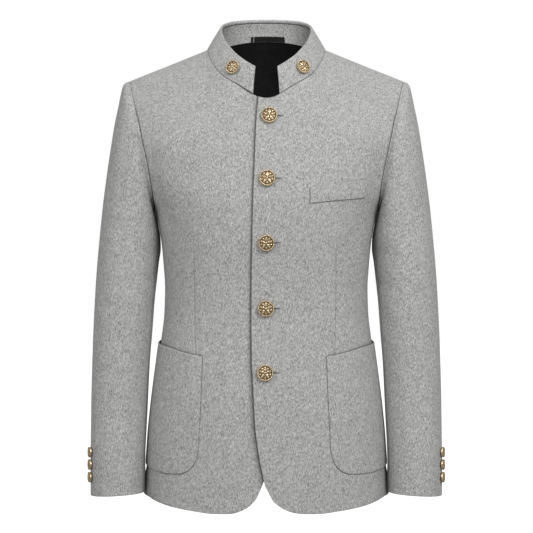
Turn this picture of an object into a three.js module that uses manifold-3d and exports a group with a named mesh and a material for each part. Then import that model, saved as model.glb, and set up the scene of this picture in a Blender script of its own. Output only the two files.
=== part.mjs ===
// Mandarin collar blazer of wool cloth, hollow as it is worn. Millimetres: x to the wearer's left,
// -y to the front, z up. The origin is on the middle plane, level with the two points where the
// shoulder seams meet the collar.
import * as THREE from "three";
import { mergeVertices } from "three/addons/utils/BufferGeometryUtils.js";
import Module from "manifold-3d";

const wasm = await Module();
wasm.setup();

// Cloth walls and the space left at every seam
const WOOL = 2;
const LINING = 1;
const SEAM = 0.3;

// Torso: half width, depth of the front and depth of the back, over the height
const TORSO = [
  { z: 60, width: 256, front: 86, back: 76 },
  { z: 17, width: 256, front: 87, back: 84 },
  { z: 0, width: 256, front: 88, back: 95 },
  { z: -49, width: 253, front: 89, back: 104 },
  { z: -84, width: 246, front: 91, back: 109 },
  { z: -111, width: 238, front: 98, back: 112 },
  { z: -148, width: 224, front: 109, back: 115 },
  { z: -180, width: 209, front: 116, back: 117 },
  { z: -208, width: 197, front: 122, back: 117 },
  { z: -236, width: 184, front: 126, back: 116 },
  { z: -250, width: 176.3, front: 127, back: 115 },
  { z: -255, width: 175, front: 127, back: 115 },
  { z: -280, width: 169.5, front: 126, back: 113 },
  { z: -306, width: 165, front: 124, back: 111 },
  { z: -338, width: 162, front: 120, back: 108 },
  { z: -376, width: 159.6, front: 116, back: 106 },
  { z: -414, width: 160.7, front: 115, back: 107 },
  { z: -452, width: 165, front: 117, back: 110 },
  { z: -490, width: 171.3, front: 120, back: 113 },
  { z: -528, width: 176.5, front: 123, back: 116 },
  { z: -566, width: 181, front: 125, back: 119 },
  { z: -604, width: 184.7, front: 126, back: 121 },
  { z: -641, width: 187.3, front: 127, back: 123 },
  { z: -665, width: 189.6, front: 127.4, back: 124 },
  { z: -720, width: 193, front: 128, back: 126 },
];
const SQUARENESS = 2.4; // how far a torso section fills its box: 2 is an ellipse
const FRONT_ROLL = 130; // depth under the shoulder line over which the front rounds out
const FRONT_SHARPNESS = 1.6;
const BACK_ROLL = 115;
const BACK_SHARPNESS = 2;

// Shoulder line: from the neck to the sleeve
const NECK_HALF = 93.4;
const SHOULDER_HALF = 216;
const SHOULDER_SLOPE = 0.405;
const NECK_RISE = 0.95; // slope of the same line inside the neck, and how it levels out
const NECK_EASE = 0.0035;

// Neckline of the front and of the back: height over x
const NECK_FRONT = [
  { x: 0, z: -82.5 },
  { x: 12, z: -80.6 },
  { x: 20.4, z: -76.5 },
  { x: 44.4, z: -61 },
  { x: 68, z: -46 },
  { x: 80, z: -32 },
  { x: 88, z: -17 },
  { x: NECK_HALF, z: 0 },
];
const NECK_BACK = [
  { x: NECK_HALF, z: 0 },
  { x: 88, z: -1 },
  { x: 76, z: 3 },
  { x: 60, z: 9 },
  { x: 30, z: 15 },
  { x: 0, z: 17.3 },
];

// Armhole seen from the front: x over height, from the underarm to the shoulder
const ARMPIT = -255;
const ARM_FRONT = [
  { x: 175.0, z: -255 },
  { x: 175.1, z: -250 },
  { x: 176.2, z: -236 },
  { x: 180, z: -208 },
  { x: 185, z: -180 },
  { x: 192, z: -148 },
  { x: 200, z: -111 },
  { x: 207, z: -84 },
  { x: 212.5, z: -62 },
  { x: SHOULDER_HALF, z: -49.4 },
];
const ARM_BACK = [
  { x: 175.0, z: -255 },
  { x: 175.2, z: -250 },
  { x: 177.5, z: -236 },
  { x: 183, z: -208 },
  { x: 189, z: -180 },
  { x: 195.5, z: -148 },
  { x: 202.5, z: -111 },
  { x: 208.5, z: -84 },
  { x: 213.2, z: -62 },
  { x: SHOULDER_HALF, z: -49.4 },
];

// Side seam: degrees round the section from the middle of the front
const SIDE_SEAM = [
  { z: -255, angle: 91 },
  { z: -330, angle: 97 },
  { z: -450, angle: 104 },
  { z: -720, angle: 104 },
];

// Front edge of the upper front, from the curve at the hem up to the neck
const EDGE_OVER = [
  { x: 7.1, z: -693.4 },
  { x: 2.6, z: -684.3 },
  { x: -2, z: -675.2 },
  { x: -5.5, z: -657.7 },
  { x: -9.7, z: -638.5 },
  { x: -13.4, z: -614 },
  { x: -16.4, z: -592.5 },
  { x: -20, z: -529 },
  { x: -22.3, z: -480 },
  { x: -22.8, z: -403 },
  { x: -20.6, z: -255 },
  { x: -18.4, z: -194 },
  { x: -15, z: -111 },
  { x: -12, z: -80.4 },
];
const EDGE_UNDER = [
  { x: 14.1, z: -693.4 },
  { x: 9.6, z: -684.3 },
  { x: 6.2, z: -675.2 },
  { x: -0.5, z: -657.7 },
  { x: -6, z: -636 },
  { x: -11.5, z: -592 },
  { x: -14, z: -529 },
  { x: -15, z: -480 },
  { x: -15, z: -255 },
  { x: -13, z: -111 },
  { x: -12, z: -80.8 },
];

// Hem of the fronts, from the curve to the side, and of the back
const HEM_FRONT = [
  { x: 7.1, z: -693.4 },
  { x: 10.2, z: -698 },
  { x: 14.7, z: -702.5 },
  { x: 20.8, z: -707.1 },
  { x: 28.4, z: -711.6 },
  { x: 42, z: -716.2 },
  { x: 56, z: -718.2 },
  { x: 78, z: -718.6 },
  { x: 109.5, z: -715.7 },
  { x: 144, z: -711 },
  { x: 171.5, z: -704.5 },
  { x: 185, z: -699.5 },
];
const HEM_UNDER = [
  { x: 14.1, z: -693.4 },
  { x: 17.2, z: -698 },
  { x: 21.7, z: -702.5 },
  { x: 26.3, z: -707 },
  { x: 33.9, z: -711.6 },
  { x: 46, z: -716.2 },
  ...HEM_FRONT.slice(6),
];
const HEM_SIDE = -697;
const HEM_BACK = -690;

// Rows up the armhole, as shares of its length, and rows below it
const ARM_ROWS = [0, 0.1, 0.2, 0.3, 0.42, 0.56, 0.7, 0.81, 0.9, 0.96, 0.99, 1];
const BODY_ROWS = 12;
const FRONT_COLUMNS = 13;
const FRONT_COLLAR_COLUMN = 2; // where the collar starts
const FRONT_NECK_COLUMN = 8; // where the shoulder seam starts
const BACK_COLUMNS = 9;
const BACK_NECK_COLUMN = 4;

// Sleeve rings: outer and inner point, half depth, middle's y, share of its own oval
const SLEEVE = [
  { outX: 216.2, outZ: -49.4, inX: 175.4, inZ: -254.8, half: 66, mid: 2, own: 0 },
  { outX: 221.6, outZ: -51.2, inX: 177.2, inZ: -254.2, half: 67, mid: 2, own: 0.06 },
  { outX: 226.4, outZ: -56, inX: 178.3, inZ: -256.5, half: 68, mid: 2, own: 0.18 },
  { outX: 230, outZ: -70, inX: 176.2, inZ: -261.5, half: 69, mid: 2, own: 0.4 },
  { outX: 234, outZ: -90, inX: 173.3, inZ: -270, half: 70, mid: 2, own: 0.6 },
  { outX: 239.2, outZ: -115, inX: 170.6, inZ: -281, half: 70.5, mid: 2, own: 0.8 },
  { outX: 245.4, outZ: -155, inX: 167.4, inZ: -298, half: 70.5, mid: 1.5, own: 1 },
  { outX: 252, outZ: -200, inX: 166.9, inZ: -314, half: 69.5, mid: 1, own: 1 },
  { outX: 257.8, outZ: -246, inX: 169.6, inZ: -334, half: 67.5, mid: 0, own: 1 },
  { outX: 263, outZ: -300, inX: 172.6, inZ: -362, half: 64.5, mid: -4, own: 1 },
  { outX: 267.2, outZ: -352, inX: 176, inZ: -396, half: 61, mid: -8, own: 1 },
  { outX: 270.6, outZ: -415, inX: 179.3, inZ: -442, half: 57.5, mid: -12, own: 1 },
  { outX: 273, outZ: -480, inX: 183.3, inZ: -497, half: 54, mid: -16, own: 1 },
  { outX: 274.5, outZ: -560, inX: 186.4, inZ: -568, half: 50.5, mid: -22.5, own: 1 },
  { outX: 274.6, outZ: -632.6, inX: 189.2, inZ: -635.6, half: 48.5, mid: -31.5, own: 1 },
  { outX: 274.4, outZ: -698.4, inX: 189.9, inZ: -693.6, half: 47, mid: -35, own: 1 },
];
const SLEEVE_FULLNESS = 2.15; // squareness of a sleeve ring
// Seams of the two-piece sleeve, in degrees round a ring: 0 outside, 90 front, 180 at the body
const SLEEVE_BACK_SEAM = { top: -54, cuff: -20 };
const SLEEVE_FRONT_SEAM = { top: 144, cuff: 168 };

// Collar: its upper edge, for which the neckline is the lower one
const COLLAR_TOP = [
  { x: 17, y: -82, z: -33 },
  { x: 30.7, y: -77, z: -24.5 },
  { x: 44.2, y: -67, z: -14 },
  { x: 56.5, y: -51, z: 0 },
  { x: 65, y: -31, z: 13 },
  { x: 70.5, y: -9, z: 27 },
  { x: 72.2, y: 5, z: 35 },
  { x: 69.5, y: 21, z: 43 },
  { x: 58, y: 36, z: 49.3 },
  { x: 30, y: 48, z: 53.5 },
  { x: 0, y: 52, z: 54.8 },
];
const COLLAR_START = 20.4; // half of the space between the ends, at the neckline
const COLLAR_FACING = 1.6;
const COLLAR_LIP = 0.14; // share of its height that rolls over to the inside

// Patch pocket seen from the front: mouth and foot over x, and inner side from its foot up
const POCKET_MOUTH = [
  { x: 97.1, z: -479.5 },
  { x: 119, z: -476 },
  { x: 139, z: -470.5 },
  { x: 153, z: -466.5 },
  { x: 165, z: -463 },
  { x: 174, z: -460.5 },
];
const POCKET_FOOT = [
  { x: 103.4, z: -622.6 },
  { x: 107.4, z: -638 },
  { x: 114, z: -649 },
  { x: 122, z: -655.7 },
  { x: 133, z: -659.4 },
  { x: 149, z: -660 },
  { x: 163, z: -659 },
  { x: 176, z: -656 },
];
const POCKET_SIDE = [
  { x: 103.4, z: -622.6 },
  { x: 101.3, z: -580 },
  { x: 99, z: -530 },
  { x: 97.1, z: -479.5 },
];
const POCKET_END = 97; // degrees round the torso at which the pocket ends
const POCKET_END_Z = [-648, -550, -458];
const POCKET_IN = { left: 5.5, right: 0 }; // how much nearer to the middle the inner side is

// Breast welt on the left front: ends of its foot and of its top
const WELT_FOOT = [
  { x: 65.9, z: -246 },
  { x: 151.9, z: -236.1 },
];
const WELT_TOP = [
  { x: 66.2, z: -221.6 },
  { x: 154.8, z: -208.1 },
];

// Buttons: place seen from the front
const FRONT_BUTTONS = [
  { x: 4.6, z: -111 },
  { x: 1.5, z: -208 },
  { x: 0, z: -306 },
  { x: -0.6, z: -406 },
  { x: -1.8, z: -504 },
];
const FRONT_BUTTON = 25;
const COLLAR_BUTTON = 22;
const COLLAR_BUTTONS = [
  { name: "collar_button_left", h: 0.181, w: 0.41 },
  { name: "collar_button_right", h: 1.845, w: 0.47 },
];
const CUFF_BUTTON = 16.6;
const BUTTON_GAP = 1.2; // space under a button's rim
const SHANK = 3.4;
const BUTTONHOLE = { eye: 4.6, slit: 1.3, end: 21 };
const CUFF_BUTTONS = [-630.5, -649.8, -669.2];
const CUFF_BUTTON_ANGLE = 22;

const WOOL_LOOK = { color: 0xa9a9ab, roughness: 0.95, metalness: 0 };
const LINING_LOOK = { color: 0x0c0c0e, roughness: 0.45, metalness: 0 };
const BUTTON_LOOK = { color: 0xb08a45, roughness: 0.35, metalness: 0.9 };

const DEG = Math.PI / 180;
const lerp = (a, b, t) => a + (b - a) * t;
const clamp = (v, a, b) => Math.min(b, Math.max(a, v));

// Smooth function through a table's two columns, that never swings past them
function smooth(rows, key, value) {
  const sorted = [...rows].sort((a, b) => a[key] - b[key]);
  const x = sorted.map((r) => r[key]);
  const y = sorted.map((r) => r[value]);
  const n = x.length;
  const d = [];
  for (let i = 0; i < n - 1; i++) d.push((y[i + 1] - y[i]) / (x[i + 1] - x[i]));
  const m = [d[0]];
  for (let i = 1; i < n - 1; i++) {
    const flat = d[i - 1] * d[i] <= 0;
    m.push(flat ? 0 : (2 * d[i - 1] * d[i]) / (d[i - 1] + d[i]));
  }
  m.push(d[n - 2]);
  return (q) => {
    if (q <= x[0]) return y[0] + d[0] * (q - x[0]) * (key === "u" ? 0 : 1);
    if (q >= x[n - 1]) return y[n - 1] + d[n - 2] * (q - x[n - 1]) * (key === "u" ? 0 : 1);
    let i = 0;
    while (q > x[i + 1]) i++;
    const h = x[i + 1] - x[i];
    const t = (q - x[i]) / h;
    const a = y[i] * (1 + 2 * t) * (1 - t) * (1 - t) + m[i] * h * t * (1 - t) * (1 - t);
    const b = y[i + 1] * t * t * (3 - 2 * t) - m[i + 1] * h * t * t * (1 - t);
    return a + b;
  };
}

const halfWidth = smooth(TORSO, "z", "width");
const frontDepth = smooth(TORSO, "z", "front");
const backDepth = smooth(TORSO, "z", "back");
const sideSeam = smooth(SIDE_SEAM, "z", "angle");

// Share across a panel for each column, closer together towards the side
const columns = (count, bias) => Array.from({ length: count + 1 }, (_, i) => 1 - (1 - i / count) ** bias);
const frontColumns = columns(FRONT_COLUMNS, 1.12);

// Height of the shoulder line over x, carried on to the middle inside the neck
function ridge(x) {
  const inside = Math.max(0, NECK_HALF - Math.abs(x));
  const line = -SHOULDER_SLOPE * Math.max(0, Math.abs(x) - NECK_HALF);
  return line + NECK_RISE * inside - NECK_EASE * inside * inside;
}

function rounding(depth, roll, sharpness) {
  const t = clamp(depth / roll, 0, 1);
  return (1 - (1 - t) ** sharpness) ** (1 / sharpness);
}

// Point of the torso: degrees round from the middle of the front, and height
function torso(angle, z) {
  const s = Math.sin(angle * DEG);
  const c = Math.cos(angle * DEG);
  const x = halfWidth(z) * Math.sign(s) * Math.abs(s) ** (2 / SQUARENESS);
  const reach = Math.abs(c) ** (2 / SQUARENESS);
  const depth = ridge(x) - z;
  const y =
    c > 0
      ? -frontDepth(z) * reach * rounding(depth, FRONT_ROLL, FRONT_SHARPNESS)
      : backDepth(z) * reach * rounding(depth, BACK_ROLL, BACK_SHARPNESS);
  return new THREE.Vector3(x, y, z);
}

// Degrees round the torso at a place seen from the front
function angleAt(x, z, back = false) {
  const share = Math.min(1, Math.abs(x) / halfWidth(z)) ** (SQUARENESS / 2);
  const a = (Math.asin(share) / DEG) * Math.sign(x || 1);
  return back ? 180 - a : a;
}

// Outward direction of the torso's cloth
function torsoNormal(angle, z) {
  const p = torso(angle, z);
  const onRidge = ridge(p.x) - z < 0.6;
  if (onRidge && Math.abs(p.x) > NECK_HALF - 1)
    return new THREE.Vector3(SHOULDER_SLOPE * Math.sign(p.x), 0, 1).normalize();
  const around = torso(angle + 0.4, z).sub(torso(angle - 0.4, z));
  const up = torso(angle, z + 0.25).sub(torso(angle, z - 0.25));
  return around.cross(up).normalize();
}

// Curve through places of the torso, run over by length: rows of angle and height
function torsoPath(rows) {
  const lengths = [0];
  for (let i = 1; i < rows.length; i++) {
    const a = torso(rows[i - 1].angle, rows[i - 1].z);
    const b = torso(rows[i].angle, rows[i].z);
    lengths.push(lengths[i - 1] + a.distanceTo(b));
  }
  const total = lengths[lengths.length - 1];
  const keyed = rows.map((r, i) => ({ u: lengths[i] / total, angle: r.angle, z: r.z }));
  const angle = smooth(keyed, "u", "angle");
  const z = smooth(keyed, "u", "z");
  const rough = (u) => ({ angle: angle(u), z: z(u) });
  const steps = 200;
  const run = [{ t: 0, u: 0 }];
  let last = torso(rough(0).angle, rough(0).z);
  for (let i = 1; i <= steps; i++) {
    const r = rough(i / steps);
    const p = torso(r.angle, r.z);
    run.push({ t: run[i - 1].t + p.distanceTo(last), u: i / steps });
    last = p;
  }
  const length = run[steps].t;
  const path = (t) => {
    const goal = t * length;
    let i = 0;
    while (i < steps - 1 && run[i + 1].t < goal) i++;
    const share = (goal - run[i].t) / (run[i + 1].t - run[i].t || 1);
    return rough(lerp(run[i].u, run[i + 1].u, clamp(share, 0, 1)));
  };
  path.length3d = length;
  return path;
}

const place = (rows, back = false) => rows.map((r) => ({ angle: angleAt(r.x, r.z, back), z: r.z }));

// Two paths one after the other, meeting at a share of the whole
const joined = (first, second, at) => (t) => (t < at ? first(t / at) : second((t - at) / (1 - at)));

// Four-sided net of places between its edges, all in angle and height
function net(left, right, bottom, top) {
  const corner = [bottom(0), bottom(1), top(0), top(1)];
  return (s, t) => {
    const mix = (k) =>
      lerp(left(t)[k], right(t)[k], s) +
      lerp(bottom(s)[k], top(s)[k], t) -
      lerp(lerp(corner[0][k], corner[1][k], s), lerp(corner[2][k], corner[3][k], s), t);
    return { angle: mix("angle"), z: mix("z") };
  };
}

const armShare = BODY_ROWS / (BODY_ROWS + ARM_ROWS.length - 1);
const rowShares = [
  ...Array.from({ length: BODY_ROWS }, (_, i) => (i / BODY_ROWS) * armShare),
  ...ARM_ROWS.map((a) => lerp(armShare, 1, a)),
];

// Side seam then armhole, from the hem to the shoulder
function outerEdge(back, hem) {
  const seam = [];
  const gap = back ? 0.09 : -0.09;
  for (let i = 0; i <= 12; i++) {
    const z = lerp(hem, ARMPIT, i / 12);
    seam.push({ angle: sideSeam(z) + gap, z });
  }
  const rows = back ? ARM_BACK : ARM_FRONT;
  const arm = place(rows, back);
  arm[0] = { angle: sideSeam(ARMPIT) + gap, z: ARMPIT };
  return joined(torsoPath(seam), torsoPath(arm), armShare);
}

const armFront = torsoPath(place(ARM_FRONT));
const armBack = torsoPath(place(ARM_BACK, true));

// Front edge, split where it comes level with the underarm
function frontEdge(rows) {
  const xAt = smooth(rows, "z", "x");
  const low = [];
  const high = [];
  for (let i = 0; i <= 24; i++) {
    const z = lerp(rows[0].z, ARMPIT, i / 24);
    low.push({ x: xAt(z), z });
  }
  for (let i = 0; i <= 8; i++) {
    const z = lerp(ARMPIT, rows[rows.length - 1].z, i / 8);
    high.push({ x: xAt(z), z });
  }
  return joined(torsoPath(place(low)), torsoPath(place(high)), armShare);
}

const neckUnderCollar = torsoPath(place(NECK_FRONT.filter((r) => r.x >= COLLAR_START)));
const neckRows = [...NECK_BACK].reverse().map((r) => ({ ...r, x: Math.max(r.x, SEAM / 2) }));
const backNeck = torsoPath(place(neckRows, true));

// Top of a front: free neckline, neckline under the collar, shoulder
function frontTop(start) {
  const free = torsoPath(place([start, ...NECK_FRONT.filter((r) => r.x <= COLLAR_START)]));
  const at = frontColumns[FRONT_COLLAR_COLUMN] / frontColumns[FRONT_NECK_COLUMN];
  const neck = joined(free, neckUnderCollar, at);
  return joined(neck, torsoPath(place(shoulderRows())), frontColumns[FRONT_NECK_COLUMN]);
}

function shoulderRows() {
  return Array.from({ length: 9 }, (_, i) => {
    const x = lerp(NECK_HALF, SHOULDER_HALF, i / 8);
    return { x, z: ridge(x) };
  });
}

// Rows of points and outward directions, from a net of the torso
function cloth(places, across, up, push = () => 0, shift = 0) {
  return up.map((t) =>
    across.map((s) => {
      const q = places(s, t);
      const p = torso(q.angle, q.z);
      const n = torsoNormal(q.angle, q.z);
      p.addScaledVector(n, push(p.x, p.z));
      p.y += shift;
      return { p, n };
    }),
  );
}

// Closed wall between two offsets of a grid of points
function wall(grid, out, inn) {
  const rows = grid.length;
  const cols = grid[0].length;
  const points = [];
  for (const side of [out, -inn])
    for (const row of grid)
      for (const v of row) {
        const reach = side === out ? (v.out ?? out) : (v.inn ?? -inn);
        points.push(v.p.clone().addScaledVector(side === out ? v.n : (v.m ?? v.n), reach));
      }
  const index = [];
  const at = (layer, i, j) => layer * rows * cols + i * cols + j;
  const quad = (a, b, c, d) => {
    const p = points;
    if (p[a].distanceTo(p[c]) <= p[b].distanceTo(p[d])) index.push(a, b, c, a, c, d);
    else index.push(a, b, d, b, c, d);
  };
  for (let i = 0; i < rows - 1; i++)
    for (let j = 0; j < cols - 1; j++) {
      quad(at(0, i, j), at(0, i, j + 1), at(0, i + 1, j + 1), at(0, i + 1, j));
      quad(at(1, i, j), at(1, i + 1, j), at(1, i + 1, j + 1), at(1, i, j + 1));
    }
  for (let j = 0; j < cols - 1; j++) {
    quad(at(0, 0, j + 1), at(0, 0, j), at(1, 0, j), at(1, 0, j + 1));
    quad(at(0, rows - 1, j), at(0, rows - 1, j + 1), at(1, rows - 1, j + 1), at(1, rows - 1, j));
  }
  for (let i = 0; i < rows - 1; i++) {
    quad(at(0, i, 0), at(0, i + 1, 0), at(1, i + 1, 0), at(1, i, 0));
    quad(at(0, i + 1, cols - 1), at(0, i, cols - 1), at(1, i, cols - 1), at(1, i + 1, cols - 1));
  }
  return outward(points, index);
}

// Geometry whose faces look out, from points and triangles
function outward(points, index) {
  let volume = 0;
  for (let i = 0; i < index.length; i += 3) {
    const [a, b, c] = [points[index[i]], points[index[i + 1]], points[index[i + 2]]];
    volume += a.dot(b.clone().cross(c));
  }
  const turned = [...index];
  if (volume < 0)
    for (let i = 1; i < turned.length; i += 3) [turned[i], turned[i + 1]] = [turned[i + 1], turned[i]];
  const geometry = new THREE.BufferGeometry();
  geometry.setAttribute("position", new THREE.Float32BufferAttribute(points.flatMap((p) => p.toArray()), 3));
  geometry.setIndex(turned);
  return geometry;
}

const mirrorGrid = (grid) =>
  grid.map((row) =>
    row.map((v) => {
      const flip = (w) => (w ? new THREE.Vector3(-w.x, w.y, w.z) : w);
      return { ...v, p: flip(v.p), n: flip(v.n), m: flip(v.m) };
    }),
  );

// Solid and geometry of a closed mesh, for cutting
function solidOf(geometry) {
  const bare = geometry.clone();
  bare.deleteAttribute("normal");
  bare.deleteAttribute("uv");
  const merged = mergeVertices(bare, 1e-4);
  return new wasm.Manifold(
    new wasm.Mesh({
      numProp: 3,
      vertProperties: merged.attributes.position.array,
      triVerts: new Uint32Array(merged.index.array),
    }),
  );
}

function geometryOf(solid) {
  const mesh = solid.getMesh();
  const geometry = new THREE.BufferGeometry();
  const positions = new Float32Array(mesh.numVert * 3);
  for (let i = 0; i < mesh.numVert; i++)
    positions.set(mesh.vertProperties.subarray(i * mesh.numProp, i * mesh.numProp + 3), i * 3);
  geometry.setAttribute("position", new THREE.BufferAttribute(positions, 3));
  geometry.setIndex(new THREE.BufferAttribute(new Uint32Array(mesh.triVerts), 1));
  return geometry;
}

const blazer = new THREE.Group();

function add(name, geometry, look) {
  const mesh = new THREE.Mesh(geometry, new THREE.MeshStandardMaterial(look));
  mesh.name = name;
  blazer.add(mesh);
  return mesh;
}

// Fronts. The under one is pushed in where the upper one covers it.
const overStart = { x: -12, z: -80.4 };
const underStart = { x: -12, z: -80.8 };
const overNet = net(
  frontEdge(EDGE_OVER),
  outerEdge(false, HEM_SIDE - 1),
  torsoPath([...place(HEM_FRONT), { angle: sideSeam(-698) - 0.09, z: HEM_SIDE - 1 }]),
  frontTop(overStart),
);
const underNet = net(
  frontEdge(EDGE_UNDER),
  outerEdge(false, HEM_SIDE - 1),
  torsoPath([...place(HEM_UNDER), { angle: sideSeam(-698) - 0.09, z: HEM_SIDE - 1 }]),
  frontTop(underStart),
);
const UNDER_PUSH = WOOL + 1;
function underPush(x) {
  const t = clamp((62 - x) / 38, 0, 1);
  return -UNDER_PUSH * t * t * (3 - 2 * t);
}
const overGrid = cloth(overNet, frontColumns, rowShares, () => 0, -SEAM / 2);
const underGrid = mirrorGrid(cloth(underNet, frontColumns, rowShares, underPush, -SEAM / 2));

// Backs, 0.3 mm apart down the middle
const backColumns = columns(BACK_COLUMNS, 1);
const middleBack = (z) => 180 - angleAt(SEAM / 2, z);
function backEdge(hem, top) {
  const low = [];
  const high = [];
  for (let i = 0; i <= 10; i++) {
    const z = lerp(hem, ARMPIT, i / 10);
    low.push({ angle: middleBack(z), z });
  }
  for (let i = 0; i <= 8; i++) {
    const z = lerp(ARMPIT, top, i / 8);
    high.push({ angle: middleBack(z), z });
  }
  return joined(torsoPath(low), torsoPath(high), armShare);
}
function backTop() {
  return joined(backNeck, torsoPath(place(shoulderRows(), true)), BACK_NECK_COLUMN / BACK_COLUMNS);
}
function backHem(hem, side) {
  const rows = [];
  for (let i = 0; i <= 8; i++) {
    const z = lerp(hem, side, (i / 8) ** 2);
    rows.push({ angle: lerp(middleBack(z), sideSeam(z) + 0.09, i / 8), z });
  }
  return torsoPath(rows);
}
const backNet = net(
  backEdge(HEM_BACK, 17.3),
  outerEdge(true, HEM_SIDE),
  backHem(HEM_BACK, HEM_SIDE),
  backTop(),
);
const backGrid = cloth(backNet, backColumns, rowShares, () => 0, SEAM / 2);

// Lining of the back: one piece, just inside both backs, with a pleat down the middle
const LINING_EASE = 3;
const LINING_TOP = 0.996;
const LINING_FOOT = 0.03;
const LINING_SIDE = 0.975;
const liningEase = (t) => lerp(LINING_EASE, 0.7, clamp((t - 0.8) / 0.13, 0, 1));
const liningRows = [
  LINING_FOOT,
  ...rowShares.filter((t, i) => i % 2 === 0 && t > LINING_FOOT + 0.02 && t < 0.9),
  ...rowShares.filter((t) => t >= 0.9 && t < LINING_TOP),
  LINING_TOP,
];
const liningShares = [0.0006, 0.012, ...backColumns.slice(1, -1), LINING_SIDE];
const liningHalf = cloth(backNet, liningShares, liningRows, () => 0, SEAM / 2);
const liningLeft = liningHalf;
const liningRight = mirrorGrid(liningHalf).map((row) => [...row].reverse());
const liningGrid = liningRight.map((row, i) => [...row, ...liningLeft[i]]);
liningGrid.forEach((row, i) => {
  const middle = row.length / 2;
  const ease = liningEase(liningRows[i]);
  for (const v of row) {
    v.out = -(WOOL + ease);
    v.inn = -(WOOL + ease + LINING);
  }
  for (const [k, depth] of [[middle - 1, 1.6], [middle, 0.2]]) {
    row[k].p.addScaledVector(row[k].n, -depth);
  }
});

// Sleeve: places round a ring by degrees, 0 on the shoulder, 90 in front, 180 at the underarm
const sleeveKeys = SLEEVE.map((r, i) => ({ ...r, u: i / (SLEEVE.length - 1) }));
const ringOf = Object.fromEntries(
  ["outX", "outZ", "inX", "inZ", "half", "mid", "own"].map((k) => [k, smooth(sleeveKeys, "u", k)]),
);
const sleevePitch = (u) => u;

function armholeAt(phi) {
  const turn = ((phi % 360) + 360) % 360;
  const front = turn <= 180;
  const share = front ? 1 - turn / 180 : 1 - (360 - turn) / 180;
  const q = (front ? armFront : armBack)(share);
  return { p: torso(q.angle, q.z), n: torsoNormal(q.angle, q.z) };
}

function oval(u, phi) {
  const r = Object.fromEntries(Object.entries(ringOf).map(([k, f]) => [k, f(u)]));
  const c = Math.cos(phi * DEG);
  const s = Math.sin(phi * DEG);
  const across = Math.sign(c) * Math.abs(c) ** (2 / SLEEVE_FULLNESS);
  const depth = Math.sign(s) * Math.abs(s) ** (2 / SLEEVE_FULLNESS);
  return new THREE.Vector3(
    (r.outX + r.inX) / 2 + ((r.outX - r.inX) / 2) * across,
    r.mid - r.half * depth,
    (r.outZ + r.inZ) / 2 + ((r.outZ - r.inZ) / 2) * across,
  );
}

function sleevePoint(u, phi) {
  const p = oval(u, phi);
  const residue = armholeAt(phi).p.sub(oval(0, phi));
  return p.addScaledVector(residue, 1 - ringOf.own(u));
}

function sleeveNormal(u, phi) {
  const du = 0.004;
  const along = sleevePoint(Math.min(1, u + du), phi).sub(sleevePoint(Math.max(0, u - du), phi));
  const round = sleevePoint(u, phi + 1).sub(sleevePoint(u, phi - 1));
  return round.cross(along).normalize();
}

// The first ring leaves the armhole along the body's cloth and thickens with it
function sleeveStart(phi) {
  const a = armholeAt(phi);
  const next = armholeAt(phi + 1).p;
  const tangent = next.sub(armholeAt(phi - 1).p).normalize();
  const away = tangent.clone().cross(a.n).normalize();
  if (away.dot(new THREE.Vector3(1, 0, phi > 120 && phi < 240 ? 1 : 0)) < 0) away.negate();
  const low = clamp((Math.abs(180 - phi) - 8) / 60, 0, 1);
  const ease = 1 - low * low * (3 - 2 * low);
  const lift = new THREE.Vector3(0.35, 0, 0.15).multiplyScalar(ease);
  const inward = a.n.clone().negate();
  const fold = new THREE.Vector3(0.75, 0, 0.65);
  const m = inward.lerp(fold, ease).normalize();
  return { p: a.p.clone().addScaledVector(away, SEAM).add(lift), n: m.clone().negate() };
}

const RINGS = 18;
const ringShares = Array.from({ length: RINGS + 1 }, (_, i) => {
  const t = i / RINGS;
  return lerp(t * t, t, 0.75);
});
const topAngles = [];
const underAngles = [];
for (const a of ARM_ROWS) {
  const front = 180 * (1 - a);
  topAngles.push(front, -front);
  underAngles.push(front, 360 - front);
}
const between = (list, from, to) =>
  [...new Set(list)].filter((v) => v >= from && v <= to).sort((a, b) => a - b);
const topSpan = between(topAngles, SLEEVE_BACK_SEAM.top - 0.1, SLEEVE_FRONT_SEAM.top + 0.1);
const underSpan = between(underAngles, SLEEVE_FRONT_SEAM.top - 0.1, SLEEVE_BACK_SEAM.top + 360.1);

function sleeveGrid(span, fromSeam, toSeam) {
  const first = span[0];
  const last = span[span.length - 1];
  return ringShares.map((u) =>
    span.map((phi, k) => {
      const share = (phi - first) / (last - first);
      const slack = k === 0 ? 1 : k === span.length - 1 ? -1 : 0;
      const angle = phi + lerp(fromSeam(u) - first, toSeam(u) - last, share);
      const start = u === 0;
      const v = start
        ? sleeveStart(((phi % 360) + 360) % 360)
        : { p: sleevePoint(sleevePitch(u), angle), n: sleeveNormal(u, angle) };
      const q = (d) => (start ? armholeAt(phi + d).p : sleevePoint(u, angle + d));
      const round = q(1).sub(q(-1)).normalize();
      v.p.addScaledVector(round, (slack * SEAM) / 2);
      return v;
    }),
  );
}
const seamDrift = (seam) => (u) => lerp(seam.top, seam.cuff, clamp(u * 1.4, 0, 1));
const topGrid = sleeveGrid(topSpan, seamDrift(SLEEVE_BACK_SEAM), seamDrift(SLEEVE_FRONT_SEAM));
const under360 = (u) => seamDrift(SLEEVE_BACK_SEAM)(u) + 360;
const underSleeveGrid = sleeveGrid(underSpan, seamDrift(SLEEVE_FRONT_SEAM), under360);

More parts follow.
